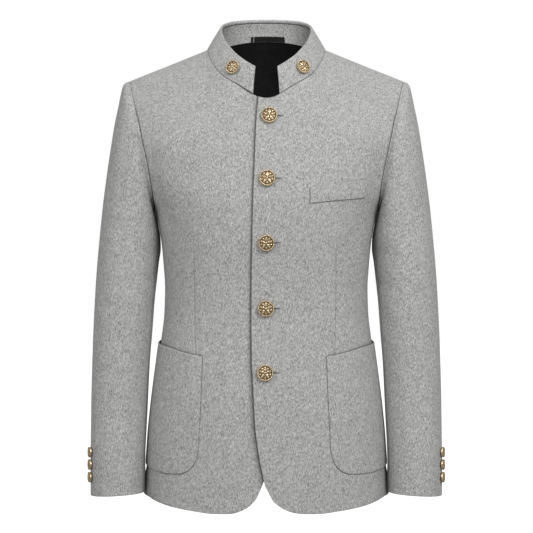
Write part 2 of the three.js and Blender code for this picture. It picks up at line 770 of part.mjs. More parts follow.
// Collar: from its front end round to the middle of the back, and mirrored
function ringCurve(points) {
  const curve = new THREE.CatmullRomCurve3(points, false, "centripetal");
  curve.arcLengthDivisions = 400;
  return (t) => curve.getPointAt(clamp(t, 0, 1));
}
const neckTurn = neckUnderCollar.length3d / (neckUnderCollar.length3d + backNeck.length3d);
const neckKnots = [];
for (let i = FRONT_COLLAR_COLUMN; i <= FRONT_NECK_COLUMN; i++) {
  const from = frontColumns[FRONT_COLLAR_COLUMN];
  neckKnots.push((neckTurn * (frontColumns[i] - from)) / (frontColumns[FRONT_NECK_COLUMN] - from));
}
for (let i = 1; i <= BACK_NECK_COLUMN; i++) neckKnots.push(lerp(neckTurn, 1, i / BACK_NECK_COLUMN));

// Point of the neckline, straight between the corners of the fronts and backs
function neckRing(h) {
  const corner = (k) => {
    const q = k <= neckTurn ? neckUnderCollar(k / neckTurn) : backNeck((1 - k) / (1 - neckTurn));
    return torso(q.angle, q.z);
  };
  let i = 0;
  while (i < neckKnots.length - 2 && neckKnots[i + 1] < h) i++;
  const share = (h - neckKnots[i]) / (neckKnots[i + 1] - neckKnots[i]);
  return corner(neckKnots[i]).lerp(corner(neckKnots[i + 1]), clamp(share, 0, 1));
}
const topRing = ringCurve(COLLAR_TOP.map((r) => new THREE.Vector3(r.x, r.y, r.z)));
const COLLAR_BOW = 1.5;

function collarPoint(h, w) {
  const flip = h > 1;
  const k = flip ? 2 - h : h;
  const foot = neckRing(k).add(new THREE.Vector3(0, 0, SEAM + 0.1));
  const head = topRing(k);
  const p = foot.clone().lerp(head, w);
  const out = new THREE.Vector3(p.x, p.y + 5, 0).normalize();
  p.addScaledVector(out, COLLAR_BOW * Math.sin(Math.PI * clamp(w, 0, 1)));
  if (flip) p.x = -p.x;
  return p;
}

function collarNormal(h, w) {
  const low = clamp(h - 0.01, 0, 2);
  const high = clamp(h + 0.01, 0, 2);
  const round = collarPoint(high, w).sub(collarPoint(low, w));
  const up = collarPoint(h, w + 0.02).sub(collarPoint(h, w - 0.02));
  return up.cross(round).normalize().negate();
}

// Closed strip: the same outline of height share and depth at every station
function strip(stations, outline) {
  const points = [];
  const index = [];
  const n = outline(0).length;
  stations.forEach((h, i) => {
    for (const [w, depth] of outline(h)) {
      const p = collarPoint(h, w);
      p.addScaledVector(collarNormal(h, w), -depth);
      points.push(p);
    }
    if (!i) return;
    for (let k = 0; k < n; k++) {
      const a = (i - 1) * n + k;
      const b = (i - 1) * n + ((k + 1) % n);
      index.push(a, b, b + n, a, b + n, a + n);
    }
  });
  const caps = THREE.ShapeUtils.triangulateShape(
    outline(0).map(([w, d]) => new THREE.Vector2(w * 44, d)),
    [],
  );
  const base = (stations.length - 1) * n;
  const reversed = THREE.ShapeUtils.isClockWise(outline(0).map(([w, d]) => new THREE.Vector2(w * 44, d)));
  for (const [a, b, c] of caps) {
    const [q, r] = reversed ? [c, b] : [b, c];
    index.push(a, r, q);
    index.push(base + a, base + q, base + r);
  }
  return outward(points, index);
}

const collarStations = [0];
for (let i = 1; i < neckKnots.length; i++) {
  collarStations.push(lerp(neckKnots[i - 1], neckKnots[i], i === 1 ? 0.12 : 0.5));
  collarStations.push(neckKnots[i]);
}
const collarRound = [...collarStations, ...collarStations.slice(0, -1).map((h) => 2 - h).reverse()];
const collarDepth = WOOL + SEAM + COLLAR_FACING;
function collarOutline(h) {
  const end = Math.min(h, 2 - h);
  const head = end < 0.006 ? 0.955 : 1;
  const lip = 1 - COLLAR_LIP;
  return [
    [0, 0],
    [0.33, 0],
    [0.66, 0],
    [head - 0.035, 0],
    [head, 0.9],
    [head, collarDepth - 0.9],
    [head - 0.035, collarDepth],
    [lip, collarDepth],
    [lip, WOOL],
    [0.5, WOOL],
    [0, WOOL],
  ];
}
function facingOutline() {
  const top = 1 - COLLAR_LIP - SEAM / 40;
  return [
    [top, WOOL + SEAM],
    [0.5, WOOL + SEAM],
    [0, WOOL + SEAM],
    [0, collarDepth],
    [0.5, collarDepth],
    [top, collarDepth],
  ];
}

// Loop for hanging: a short strip on the inside of the collar, at the back
const loopStations = [0.86, 0.9, 0.95, 1, 1.05, 1.08].map((h) => h + 0.02);
const loopOutline = () => [
  [0.02, collarDepth + 1],
  [0.3, collarDepth + 1],
  [0.3, collarDepth + 2],
  [0.02, collarDepth + 2],
];

// Patch pocket: a net between its mouth and foot, on the torso and moved out
function pocketGrid(inward) {
  const placed = (rows) =>
    place(rows.map(({ x, z }) => ({ x: x - inward * clamp((172 - x) / 50, 0, 1), z })));
  const end = (z) => ({ angle: POCKET_END, z });
  const mouth = torsoPath([...placed(POCKET_MOUTH), end(POCKET_END_Z[2])]);
  const foot = torsoPath([...placed(POCKET_FOOT), end(POCKET_END_Z[0])]);
  const inner = torsoPath(placed(POCKET_SIDE));
  const outer = torsoPath(POCKET_END_Z.map(end));
  return cloth(net(inner, outer, foot, mouth), columns(9, 1), columns(7, 1), () => 0);
}

// Breast welt: a slanting strip seen from the front
function weltGrid() {
  const side = (i) => torsoPath(place([WELT_FOOT[i], WELT_TOP[i]]));
  const edge = ([a, b]) => torsoPath(place([a, { x: (a.x + b.x) / 2, z: (a.z + b.z) / 2 }, b]));
  return cloth(net(side(0), side(1), edge(WELT_FOOT), edge(WELT_TOP)), columns(7, 1), columns(2, 1), () => 0);
}

// Button: domed cap with a rim, and its shank, standing on z = 0 with the cloth below
function buttonGeometry(diameter, shank) {
  const r = diameter / 2;
  const profile = [
    [0, -shank],
    [SHANK / 2, -shank],
    [SHANK / 2, BUTTON_GAP],
    [r * 0.9, BUTTON_GAP],
    [r, BUTTON_GAP + r * 0.12],
    [r * 0.97, BUTTON_GAP + r * 0.27],
    [r * 0.58, BUTTON_GAP + r * 0.37],
    [0, BUTTON_GAP + r * 0.42],
  ];
  const lathe = new THREE.LatheGeometry(profile.map(([a, b]) => new THREE.Vector2(a, b)), 16);
  lathe.rotateX(Math.PI / 2);
  lathe.deleteAttribute("normal");
  lathe.deleteAttribute("uv");
  const merged = mergeVertices(lathe, 1e-4);
  const kept = [];
  const source = merged.index.array;
  for (let i = 0; i < source.length; i += 3) {
    const [a, b, c] = [source[i], source[i + 1], source[i + 2]];
    if (a !== b && b !== c && a !== c) kept.push(a, b, c);
  }
  const points = [];
  const position = merged.attributes.position;
  for (let i = 0; i < position.count; i++) points.push(new THREE.Vector3().fromBufferAttribute(position, i));
  return outward(points, kept);
}

function seat(mesh, point, direction) {
  mesh.position.copy(point);
  mesh.quaternion.setFromUnitVectors(new THREE.Vector3(0, 0, 1), direction.clone().normalize());
  return mesh;
}

// Upper front with its buttonholes: a round eye for the shank and a slit towards the side
let upper = solidOf(wall(overGrid, 0, WOOL));
for (const b of FRONT_BUTTONS) {
  const angle = angleAt(b.x, b.z);
  const p = torso(angle, b.z);
  const n = torsoNormal(angle, b.z);
  const frame = new THREE.Object3D();
  frame.position.copy(p);
  frame.quaternion.setFromUnitVectors(new THREE.Vector3(0, 0, 1), n);
  frame.updateMatrixWorld(true);
  const eye = new THREE.CylinderGeometry(BUTTONHOLE.eye / 2, BUTTONHOLE.eye / 2, 12, 12);
  eye.rotateX(Math.PI / 2);
  eye.applyMatrix4(frame.matrixWorld);
  upper = upper.subtract(solidOf(eye));
  const slit = new THREE.BoxGeometry(BUTTONHOLE.end, BUTTONHOLE.slit, 14);
  slit.rotateZ(new THREE.Vector3(1, 0, 0).applyQuaternion(frame.quaternion.clone().invert()).y);
  slit.translate(BUTTONHOLE.end / 2, 0, 0);
  slit.applyMatrix4(frame.matrixWorld);
  upper = upper.subtract(solidOf(slit));
}
add("front_left", geometryOf(upper), WOOL_LOOK);
add("front_right", wall(underGrid, 0, WOOL), WOOL_LOOK);
add("back_left", wall(backGrid, 0, WOOL), WOOL_LOOK);
add("back_right", wall(mirrorGrid(backGrid), 0, WOOL), WOOL_LOOK);
add("back_lining", wall(liningGrid, 0, LINING), LINING_LOOK);
for (const [name, grid] of [["sleeve_top", topGrid], ["sleeve_under", underSleeveGrid]]) {
  add(name + "_left", wall(grid, 0, WOOL), WOOL_LOOK);
  add(name + "_right", wall(mirrorGrid(grid), 0, WOOL), WOOL_LOOK);
}
add("collar", strip(collarRound, collarOutline), WOOL_LOOK);
add("collar_facing", strip(collarRound, facingOutline), WOOL_LOOK);
add("hanger_loop", strip(loopStations, loopOutline), LINING_LOOK);
add("patch_pocket_left", wall(pocketGrid(POCKET_IN.left), WOOL + 0.7, -0.7), WOOL_LOOK);
add("patch_pocket_right", wall(mirrorGrid(pocketGrid(POCKET_IN.right)), WOOL + 0.7, -0.7), WOOL_LOOK);
add("chest_welt", wall(weltGrid(), WOOL + 0.7, -0.7), WOOL_LOOK);

FRONT_BUTTONS.forEach((b, i) => {
  const angle = angleAt(b.x, b.z);
  const mesh = add("front_button_" + (i + 1), buttonGeometry(FRONT_BUTTON, UNDER_PUSH - 0.5), BUTTON_LOOK);
  seat(mesh, torso(angle, b.z), torsoNormal(angle, b.z));
});
for (const { name, h, w } of COLLAR_BUTTONS)
  seat(add(name, buttonGeometry(COLLAR_BUTTON, -0.5), BUTTON_LOOK), collarPoint(h, w), collarNormal(h, w));

for (const side of [1, -1])
  CUFF_BUTTONS.forEach((z, i) => {
    let u = 0.8;
    for (let k = 0; k < 40; k++) u += clamp((sleevePoint(u, CUFF_BUTTON_ANGLE).z - z) / 900, -0.05, 0.05);
    const p = sleevePoint(u, CUFF_BUTTON_ANGLE);
    const n = sleeveNormal(u, CUFF_BUTTON_ANGLE);
    p.x *= side;
    n.x *= side;
    const name = "cuff_button_" + (side > 0 ? "left" : "right") + "_" + (i + 1);
    seat(add(name, buttonGeometry(CUFF_BUTTON, -0.5), BUTTON_LOOK), p, n);
  });

export default blazer;
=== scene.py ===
"""Mandarin collar blazer of light grey melange wool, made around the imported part.

Lengths are in millimetres, as the part's are, until a mesh is made. x is to the wearer's left,
-y to the front and z up.
"""

import bmesh
import bpy
import numpy as np
from bpy.props import FloatProperty, FloatVectorProperty, PointerProperty
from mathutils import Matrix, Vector


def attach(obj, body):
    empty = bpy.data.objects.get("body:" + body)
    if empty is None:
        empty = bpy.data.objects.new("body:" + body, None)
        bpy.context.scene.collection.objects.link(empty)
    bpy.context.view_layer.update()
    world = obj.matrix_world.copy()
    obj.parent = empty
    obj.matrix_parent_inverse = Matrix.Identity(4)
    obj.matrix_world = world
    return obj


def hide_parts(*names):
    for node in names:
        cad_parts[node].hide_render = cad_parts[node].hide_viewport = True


bl_info = {
    "name": "Mandarin collar blazer",
    "version": (1, 0, 0),
    "blender": (4, 5, 0),
    "location": "View3D > Sidebar > Blazer",
    "description": "Cloth, lining, buttons and sewing of a mandarin collar blazer",
    "category": "Add Mesh",
}

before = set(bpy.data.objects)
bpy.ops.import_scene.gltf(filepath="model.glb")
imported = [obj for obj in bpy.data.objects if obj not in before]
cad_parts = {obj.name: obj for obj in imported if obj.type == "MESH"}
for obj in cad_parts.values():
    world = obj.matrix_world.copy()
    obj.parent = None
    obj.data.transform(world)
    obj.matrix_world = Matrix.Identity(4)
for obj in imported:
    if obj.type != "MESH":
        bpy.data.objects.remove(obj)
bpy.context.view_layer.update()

MM = 0.001
WOOL = 2.0
LINING = 1.0
SEAM = 0.3
SEWN = 0.04  # what stays open along the body's sewn edges
SIDE_GAP = 0.012  # half of it at the side seams, in degrees round the torso

# Torso: height, half width, depth of the front, depth of the back
TORSO = np.array([
    (60, 256, 86, 76), (17, 256, 87, 84), (0, 256, 88, 95), (-49, 253, 89, 104),
    (-84, 246, 91, 109), (-111, 238, 98, 112), (-148, 224, 109, 115), (-180, 209, 116, 117),
    (-208, 197, 122, 117), (-236, 184, 126, 116), (-250, 176.3, 127, 115), (-255, 175, 127, 115),
    (-280, 169.5, 126, 113), (-306, 165, 124, 111), (-338, 162, 120, 108), (-376, 159.6, 116, 106),
    (-414, 160.7, 115, 107), (-452, 165, 117, 110), (-490, 171.3, 120, 113), (-528, 176.5, 123, 116),
    (-566, 181, 125, 119), (-604, 184.7, 126, 121), (-641, 187.3, 127, 123), (-665, 189.6, 127.4, 124),
    (-720, 193, 128, 126),
])
SQUARENESS = 2.4
FRONT_ROLL, FRONT_SHARPNESS = 130, 1.6
BACK_ROLL, BACK_SHARPNESS = 115, 2

# Shoulder line
NECK_HALF, SHOULDER_HALF = 93.4, 216
SHOULDER_SLOPE = 0.405
NECK_RISE, NECK_EASE = 0.95, 0.0035

# Necklines and armholes seen from the front: x, z
NECK_FRONT = [(0, -82.5), (12, -80.6), (20.4, -76.5), (44.4, -61), (68, -46), (80, -32), (88, -17), (93.4, 0)]
NECK_BACK = [(93.4, 0), (88, -1), (76, 3), (60, 9), (30, 15), (0, 17.3)]
ARMPIT = -255
ARM_FRONT = [
    (175.0, -255), (175.1, -250), (176.2, -236), (180, -208), (185, -180),
    (192, -148), (200, -111), (207, -84), (212.5, -62), (216, -49.4),
]
ARM_BACK = [
    (175.0, -255), (175.2, -250), (177.5, -236), (183, -208), (189, -180),
    (195.5, -148), (202.5, -111), (208.5, -84), (213.2, -62), (216, -49.4),
]
SIDE_SEAM = [(-255, 91), (-330, 97), (-450, 104), (-720, 104)]  # z, degrees round the torso

# Front edges and hems seen from the front: x, z
EDGE_OVER = [
    (7.1, -693.4), (2.6, -684.3), (-2, -675.2), (-5.5, -657.7), (-9.7, -638.5), (-13.4, -614),
    (-16.4, -592.5), (-20, -529), (-22.3, -480), (-22.8, -403), (-20.6, -255), (-18.4, -194),
    (-15, -111), (-12, -80.4),
]
EDGE_UNDER = [
    (14.1, -693.4), (9.6, -684.3), (6.2, -675.2), (-0.5, -657.7), (-6, -636), (-11.5, -592),
    (-14, -529), (-15, -480), (-15, -255), (-13, -111), (-12, -80.8),
]
HEM_FRONT = [
    (7.1, -693.4), (10.2, -698), (14.7, -702.5), (20.8, -707.1), (28.4, -711.6), (42, -716.2),
    (56, -718.2), (78, -718.6), (109.5, -715.7), (144, -711), (171.5, -704.5), (185, -699.5),
]
HEM_UNDER = [(14.1, -693.4), (17.2, -698), (21.7, -702.5), (26.3, -707), (33.9, -711.6), (46, -716.2)]
HEM_UNDER += HEM_FRONT[6:]
HEM_SIDE, HEM_BACK = -697, -690

BODY_ROWS, ARM_ROWS = 12, 11
ARM_SHARE = BODY_ROWS / (BODY_ROWS + ARM_ROWS)
COLLAR_COLUMN, NECK_COLUMN = 1 - (1 - np.array([2, 8]) / 13) ** 1.12
BACK_NECK_COLUMN = 4 / 9

# Sleeve rings: outer x, z, inner x, z, half depth, middle's y, share of its own oval
SLEEVE = np.array([
    (216.2, -49.4, 175.4, -254.8, 66, 2, 0), (221.6, -51.2, 177.2, -254.2, 67, 2, 0.06),
    (226.4, -56, 178.3, -256.5, 68, 2, 0.18), (230, -70, 176.2, -261.5, 69, 2, 0.4),
    (234, -90, 173.3, -270, 70, 2, 0.6), (239.2, -115, 170.6, -281, 70.5, 2, 0.8),
    (245.4, -155, 167.4, -298, 70.5, 1.5, 1), (252, -200, 166.9, -314, 69.5, 1, 1),
    (257.8, -246, 169.6, -334, 67.5, 0, 1), (263, -300, 172.6, -362, 64.5, -4, 1),
    (267.2, -352, 176, -396, 61, -8, 1), (270.6, -415, 179.3, -442, 57.5, -12, 1),
    (273, -480, 183.3, -497, 54, -16, 1), (274.5, -560, 186.4, -568, 50.5, -22.5, 1),
    (274.6, -632.6, 189.2, -635.6, 48.5, -31.5, 1), (274.4, -698.4, 189.9, -693.6, 47, -35, 1),
])
SLEEVE_FULLNESS = 2.15
SLEEVE_BACK_SEAM = (-54, -20)  # degrees round a ring at the top and at the cuff
SLEEVE_FRONT_SEAM = (144, 168)
SLEEVE_START = 0.044  # share of the sleeve over which it leaves the armhole

# Collar's upper edge: x, y, z
COLLAR_TOP = [
    (17, -82, -33), (30.7, -77, -24.5), (44.2, -67, -14), (56.5, -51, 0), (65, -31, 13),
    (70.5, -9, 27), (72.2, 5, 35), (69.5, 21, 43), (58, 36, 49.3), (30, 48, 53.5), (0, 52, 54.8),
]
COLLAR_START = 20.4
COLLAR_FACING = 1.6
COLLAR_LIP = 0.14
COLLAR_BOW = 1.5
COLLAR_HEIGHT = 44
COLLAR_DEPTH = WOOL + SEAM + COLLAR_FACING

# Patch pocket and breast welt
POCKET_MOUTH = [(97.1, -479.5), (119, -476), (139, -470.5), (153, -466.5), (165, -463), (174, -460.5)]
POCKET_FOOT = [
    (103.4, -622.6), (107.4, -638), (114, -649), (122, -655.7), (133, -659.4), (149, -660),
    (163, -659), (176, -656),
]
POCKET_SIDE = [(103.4, -622.6), (101.3, -580), (99, -530), (97.1, -479.5)]
POCKET_END = 97
POCKET_END_Z = (-648, -550, -458)
POCKET_IN = {1: 5.5, -1: 0}  # how much nearer to the middle the inner side is
WELT_FOOT = [(65.9, -246), (151.9, -236.1)]
WELT_TOP = [(66.2, -221.6), (154.8, -208.1)]
PATCH_GAP = 0.7

# Darts of the fronts: x at the upper point and at the pocket, z of both; left and right
DARTS = {1: (107.5, 105.6, -306, -478), -1: (-111.5, -108.8, -303, -478)}

# Buttons: place seen from the front
FRONT_BUTTONS = [(4.6, -111), (1.5, -208), (0, -306), (-0.6, -406), (-1.8, -504)]
COLLAR_BUTTONS = {"collar_button_left": (0.181, 0.41), "collar_button_right": (1.845, 0.47)}
CUFF_BUTTONS = (-630.5, -649.8, -669.2)
CUFF_BUTTON_ANGLE = 22
BUTTON_GAP, SHANK = 1.2, 3.4
HOLE_EYE, HOLE_SLIT, HOLE_END = 4.6, 1.3, 21
UNDER_PUSH = 3.0

# Soft folds of the torso, seen from the front or back: x, z of both ends, width, depth
FRONT_FOLDS = [
    (170, -262, 122, -306, 14, 1.5), (171, -206, 152, -262, 11, 1.1), (86, -240, 96, -430, 28, -1.1),
    (62, -400, 50, -640, 24, 0.8), (128, -330, 152, -436, 20, 0.9), (36, -560, 44, -700, 20, -0.7),
    (186, -120, 172, -196, 12, 0.8),
    (-172, -256, -128, -292, 12, 1.3), (-168, -222, -148, -276, 12, 1.2), (-84, -250, -92, -420, 26, -1.2),
    (-60, -430, -54, -600, 22, 0.7), (-134, -318, -150, -420, 22, 1.0), (-40, -590, -44, -706, 22, -0.6),
    (-188, -128, -174, -184, 13, 0.9),
]
BACK_FOLDS = [
    (168, -256, 118, -304, 14, 1.7), (172, -196, 150, -250, 12, 1.2), (24, -352, 132, -338, 15, 1.3),
    (38, -396, 120, -388, 13, 0.9), (96, -430, 104, -660, 24, -1.0), (52, -60, 66, -190, 22, 0.8),
    (44, -450, 38, -640, 20, 0.9),
    (-170, -262, -126, -300, 13, 1.5), (-166, -210, -144, -256, 12, 1.3), (-18, -340, -120, -352, 14, 1.2),
    (-46, -384, -134, -400, 14, 1.0), (-90, -440, -98, -650, 26, -1.1), (-58, -70, -64, -180, 20, 0.7),
    (-40, -470, -46, -660, 18, 0.8),
]

# Soft folds of the sleeves: share down the sleeve and degrees of both ends, width, depth
SLEEVE_FOLDS = {
    1: [
        (0.20, 74, 0.50, 62, 15, 1.7), (0.24, 118, 0.44, 104, 12, -0.8), (0.47, 166, 0.56, 118, 11, 1.4),
        (0.60, 172, 0.66, 112, 12, 1.6), (0.66, 186, 0.74, 128, 11, 1.1), (0.70, 62, 0.86, 54, 16, 0.9),
        (0.80, 130, 0.95, 124, 13, 0.8), (0.30, 236, 0.48, 252, 14, 1.4), (0.56, 222, 0.63, 272, 12, 1.5),
        (0.64, 210, 0.72, 262, 12, 1.2), (0.76, 256, 0.94, 268, 14, 0.9), (0.18, 300, 0.34, 296, 13, 1.0),
    ],
    -1: [
        (0.19, 70, 0.47, 66, 14, 1.9), (0.26, 112, 0.46, 110, 12, -0.7), (0.45, 170, 0.55, 124, 12, 1.3),
        (0.58, 168, 0.65, 106, 11, 1.4), (0.67, 180, 0.76, 122, 12, 1.2), (0.72, 66, 0.90, 58, 15, 0.8),
        (0.79, 134, 0.93, 120, 12, 0.9), (0.28, 240, 0.46, 248, 13, 1.3), (0.57, 226, 0.62, 276, 13, 1.4),
        (0.66, 214, 0.73, 258, 11, 1.3), (0.78, 252, 0.96, 262, 13, 0.8), (0.20, 296, 0.36, 302, 14, 1.1),
    ],
}

PLEAT_X = 2.8  # where the lining's pleat turns over
LAP = 8.0  # width of the strip by which the lining laps over the collar's foot
LAP_END, LAP_FADE = 86.0, 18.0  # where that ends to each side, short of the shoulder seam
LINING_RISE = 6.3  # how far the lining laps up over the foot of the collar's band
LINING_OVER = 6.1  # how far it stands in from the back there, over the seam's allowance

# Folds of the lining, lifted towards the inside: x, z of both ends, width, height
LINING_FOLDS = [
    (-34, 14, -30, -210, 7, 2.0), (-66, 6, -58, -160, 8, 1.6), (26, 16, 24, -230, 7, 1.9),
    (54, 8, 50, -150, 8, 1.5), (-14, 10, -12, -260, 5, 0.9), (84, -4, 74, -180, 10, 1.4),
    (-92, -10, -84, -200, 10, 1.5), (40, -260, 44, -640, 14, 1.6), (-52, -240, -46, -650, 14, 1.7),
    (100, -300, 96, -600, 16, 1.4), (-104, -280, -98, -620, 16, 1.5),
]

# Narrow light into the neck: place and aim in metres, cone in degrees, share of the key's power
NECK_LIGHT = ((0, -0.35, 0.6), (0, 0.09, -0.01), 9, 0.34)

# Lights: name, place in metres, size, share of the key's power
LIGHTS = [
    ("key_light", (1.3, -2.1, 1.1), 1.1, 1.0),
    ("left_light", (-1.5, -2.3, 0.9), 1.5, 0.62),
    ("back_light", (0.2, 2.6, 1.3), 2.0, 0.5),
]

STEPS = (0.0, 0.25, 0.6, 1.0)  # shares of a rolled edge at which it has points


def curve(x, y, hold=False):
    """Smooth curve through points that never swings past them; it holds or runs on past its ends."""
    order = np.argsort(x)
    x, y = np.asarray(x, float)[order], np.asarray(y, float)[order]
    d = np.diff(y) / np.diff(x)
    m = np.zeros(len(x))
    m[0], m[-1] = d[0], d[-1]
    product = d[:-1] * d[1:]
    same = product > 0
    m[1:-1][same] = 2 * product[same] / (d[:-1] + d[1:])[same]

    def at(q):
        q = np.asarray(q, float)
        i = np.clip(np.searchsorted(x, q, side="left") - 1, 0, len(x) - 2)
        h = x[i + 1] - x[i]
        t = np.clip((q - x[i]) / h, 0, 1)
        a = y[i] * (1 + 2 * t) * (1 - t) ** 2 + m[i] * h * t * (1 - t) ** 2
        b = y[i + 1] * t * t * (3 - 2 * t) - m[i + 1] * h * t * t * (1 - t)
        past = 0 if hold else 1
        low = np.minimum(q - x[0], 0) * d[0] * past
        high = np.maximum(q - x[-1], 0) * d[-1] * past
        return a + b + low + high

    return at


half_width = curve(TORSO[:, 0], TORSO[:, 1])
front_depth = curve(TORSO[:, 0], TORSO[:, 2])
back_depth = curve(TORSO[:, 0], TORSO[:, 3])
side_seam = curve(*zip(*SIDE_SEAM))


def lerp(a, b, t):
    return a + (b - a) * t


def ease(t):
    """Smooth step from 0 to 1."""
    t = np.clip(t, 0, 1)
    return t * t * (3 - 2 * t)


def unit(v):
    return v / np.maximum(np.linalg.norm(v, axis=-1, keepdims=True), 1e-12)


def ridge(x):
    """Height of the shoulder line over x, carried on to the middle inside the neck."""
    inside = np.maximum(0, NECK_HALF - np.abs(x))
    outside = np.maximum(0, np.abs(x) - NECK_HALF)
    return NECK_RISE * inside - NECK_EASE * inside**2 - SHOULDER_SLOPE * outside


def rounding(depth, roll, sharpness):
    t = np.clip(depth / roll, 0, 1)
    return (1 - (1 - t) ** sharpness) ** (1 / sharpness)


def torso(angle, z):
    """Point of the torso: degrees round from the middle of the front, and height."""
    angle, z = np.broadcast_arrays(np.asarray(angle, float), np.asarray(z, float))
    s, c = np.sin(np.radians(angle)), np.cos(np.radians(angle))
    x = half_width(z) * np.sign(s) * np.abs(s) ** (2 / SQUARENESS)
    reach = np.abs(c) ** (2 / SQUARENESS)
    depth = ridge(x) - z
    front = -front_depth(z) * reach * rounding(depth, FRONT_ROLL, FRONT_SHARPNESS)
    back = back_depth(z) * reach * rounding(depth, BACK_ROLL, BACK_SHARPNESS)
    return np.stack([x, np.where(c > 0, front, back), z], -1)


def torso_normal(angle, z):
    """Outward direction of the torso's cloth."""
    p = torso(angle, z)
    around = torso(angle + 0.4, z) - torso(angle - 0.4, z)
    up = torso(angle, z + 0.25) - torso(angle, z - 0.25)
    n = unit(np.cross(around, up))
    on_ridge = (ridge(p[..., 0]) - p[..., 2] < 0.08) & (np.abs(p[..., 0]) > NECK_HALF - 1)
    top = np.stack([SHOULDER_SLOPE * np.sign(p[..., 0]), 0 * p[..., 0], 1 + 0 * p[..., 0]], -1)
    return np.where(on_ridge[..., None], unit(top), n)


def angle_at(x, z, back=False):
    """Degrees round the torso at a place seen from the front."""
    x = np.asarray(x, float)
    share = np.minimum(1, np.abs(x) / half_width(z)) ** (SQUARENESS / 2)
    a = np.degrees(np.arcsin(share)) * np.where(x < 0, -1, 1)
    return 180 - a if back else a


def seen(rows, back=False):
    """Places seen from the front, as angle and height."""
    return [(float(angle_at(x, z, back)), z) for x, z in rows]


def torso_path(rows):
    """Curve through places of the torso, run over by length."""
    rows = np.array(rows, float)
    p = torso(rows[:, 0], rows[:, 1])
    u = np.concatenate([[0], np.cumsum(np.linalg.norm(np.diff(p, axis=0), axis=1))])
    u /= u[-1]
    angle, z = curve(u, rows[:, 0], hold=True), curve(u, rows[:, 1], hold=True)
    steps = np.linspace(0, 1, 201)
    fine = torso(angle(steps), z(steps))
    run = np.concatenate([[0], np.cumsum(np.linalg.norm(np.diff(fine, axis=0), axis=1))])

    def path(t):
        at = np.interp(np.clip(t, 0, 1) * run[-1], run, steps)
        return np.stack([angle(at), z(at)], -1)

    path.length = run[-1]
    return path


def joined(first, second, at):
    """Two paths one after the other, meeting at a share of the whole."""
    return lambda t: np.where((np.asarray(t) < at)[..., None], first(t / at), second((t - at) / (1 - at)))


def net(left, right, bottom, top):
    """Four-sided net of places between its edges."""
    c = [bottom(np.array(k)) for k in (0.0, 1.0)] + [top(np.array(k)) for k in (0.0, 1.0)]

    def places(s, t):
        s, t = np.asarray(s, float), np.asarray(t, float)
        a, b = s[..., None], t[..., None]
        across = lerp(left(t), right(t), a)
        up = lerp(bottom(s), top(s), b)
        return across + up - lerp(lerp(c[0], c[1], a), lerp(c[2], c[3], a), b)

    return places


def outer_edge(back, hem):
    """Side seam then armhole, from the hem to the shoulder."""
    gap = SIDE_GAP if back else -SIDE_GAP
    z = np.linspace(hem, ARMPIT, 13)
    seam = np.stack([side_seam(z) + gap, z], -1)
    arm = seen(ARM_BACK if back else ARM_FRONT, back)
    arm[0] = (float(side_seam(ARMPIT)) + gap, ARMPIT)
    return joined(torso_path(seam), torso_path(arm), ARM_SHARE)


arm_front = torso_path(seen(ARM_FRONT))
arm_back = torso_path(seen(ARM_BACK, True))
neck_under_collar = torso_path(seen([r for r in NECK_FRONT if r[0] >= COLLAR_START]))
back_neck = torso_path(seen([(max(x, SEWN / 2), z) for x, z in reversed(NECK_BACK)], True))


def front_edge(rows):
    """Front edge, split where it comes level with the underarm."""
    x_at = curve([z for _, z in rows], [x for x, _ in rows])
    low = [(float(x_at(z)), z) for z in np.linspace(rows[0][1], ARMPIT, 25)]
    high = [(float(x_at(z)), z) for z in np.linspace(ARMPIT, rows[-1][1], 9)]
    return joined(torso_path(seen(low)), torso_path(seen(high)), ARM_SHARE)


def shoulder_rows():
    return [(x, float(ridge(x))) for x in np.linspace(NECK_HALF, SHOULDER_HALF, 9)]


def front_top(start):
    """Top of a front: free neckline, neckline under the collar, shoulder."""
    free = torso_path(seen([start] + [r for r in NECK_FRONT if r[0] <= COLLAR_START]))
    neck = joined(free, neck_under_collar, COLLAR_COLUMN / NECK_COLUMN)
    return joined(neck, torso_path(seen(shoulder_rows())), NECK_COLUMN)


def back_net():
    def middle(z):
        return float(180 - angle_at(SEWN / 2, z))

    low = torso_path([(middle(z), z) for z in np.linspace(HEM_BACK, ARMPIT, 11)])
    high = torso_path([(middle(z), z) for z in np.linspace(ARMPIT, NECK_BACK[-1][1], 9)])
    top = joined(back_neck, torso_path(seen(shoulder_rows(), True)), BACK_NECK_COLUMN)
    hem = []
    for i in range(9):
        z = lerp(HEM_BACK, HEM_SIDE, (i / 8) ** 2)
        hem.append((lerp(middle(z), float(side_seam(z)) + SIDE_GAP, i / 8), z))
    return net(joined(low, high, ARM_SHARE), outer_edge(True, HEM_SIDE), torso_path(hem), top)


def front_net(edge, hem, start):
    corner = (float(side_seam(-698)) - SIDE_GAP, HEM_SIDE - 1)
    bottom = torso_path(seen(hem) + [corner])
    return net(front_edge(edge), outer_edge(False, HEM_SIDE - 1), bottom, front_top(start))


def shares(points_at, knots, pitch):
    """Shares from knot to knot, a set distance apart along a line of points."""
    fine = np.linspace(0, 1, 4001)
    p = points_at(fine)
    run = np.concatenate([[0], np.cumsum(np.linalg.norm(np.diff(p, axis=0), axis=1))])
    out = []
    for a, b in zip(knots, knots[1:]):
        la, lb = np.interp([a, b], fine, run)
        n = max(2, int(round((lb - la) / pitch)))
        out.append(np.interp(np.linspace(la, lb, n, endpoint=False), run, fine))
    return np.concatenate(out + [[knots[-1]]])


def near_line(points, line):
    """Distance of each point from the nearest of a line's points."""
    flat = points.reshape(-1, 3)
    best = np.full(len(flat), 1e9)
    for q in line:
        best = np.minimum(best, ((flat - q) ** 2).sum(1))
    return np.sqrt(best).reshape(points.shape[:-1])


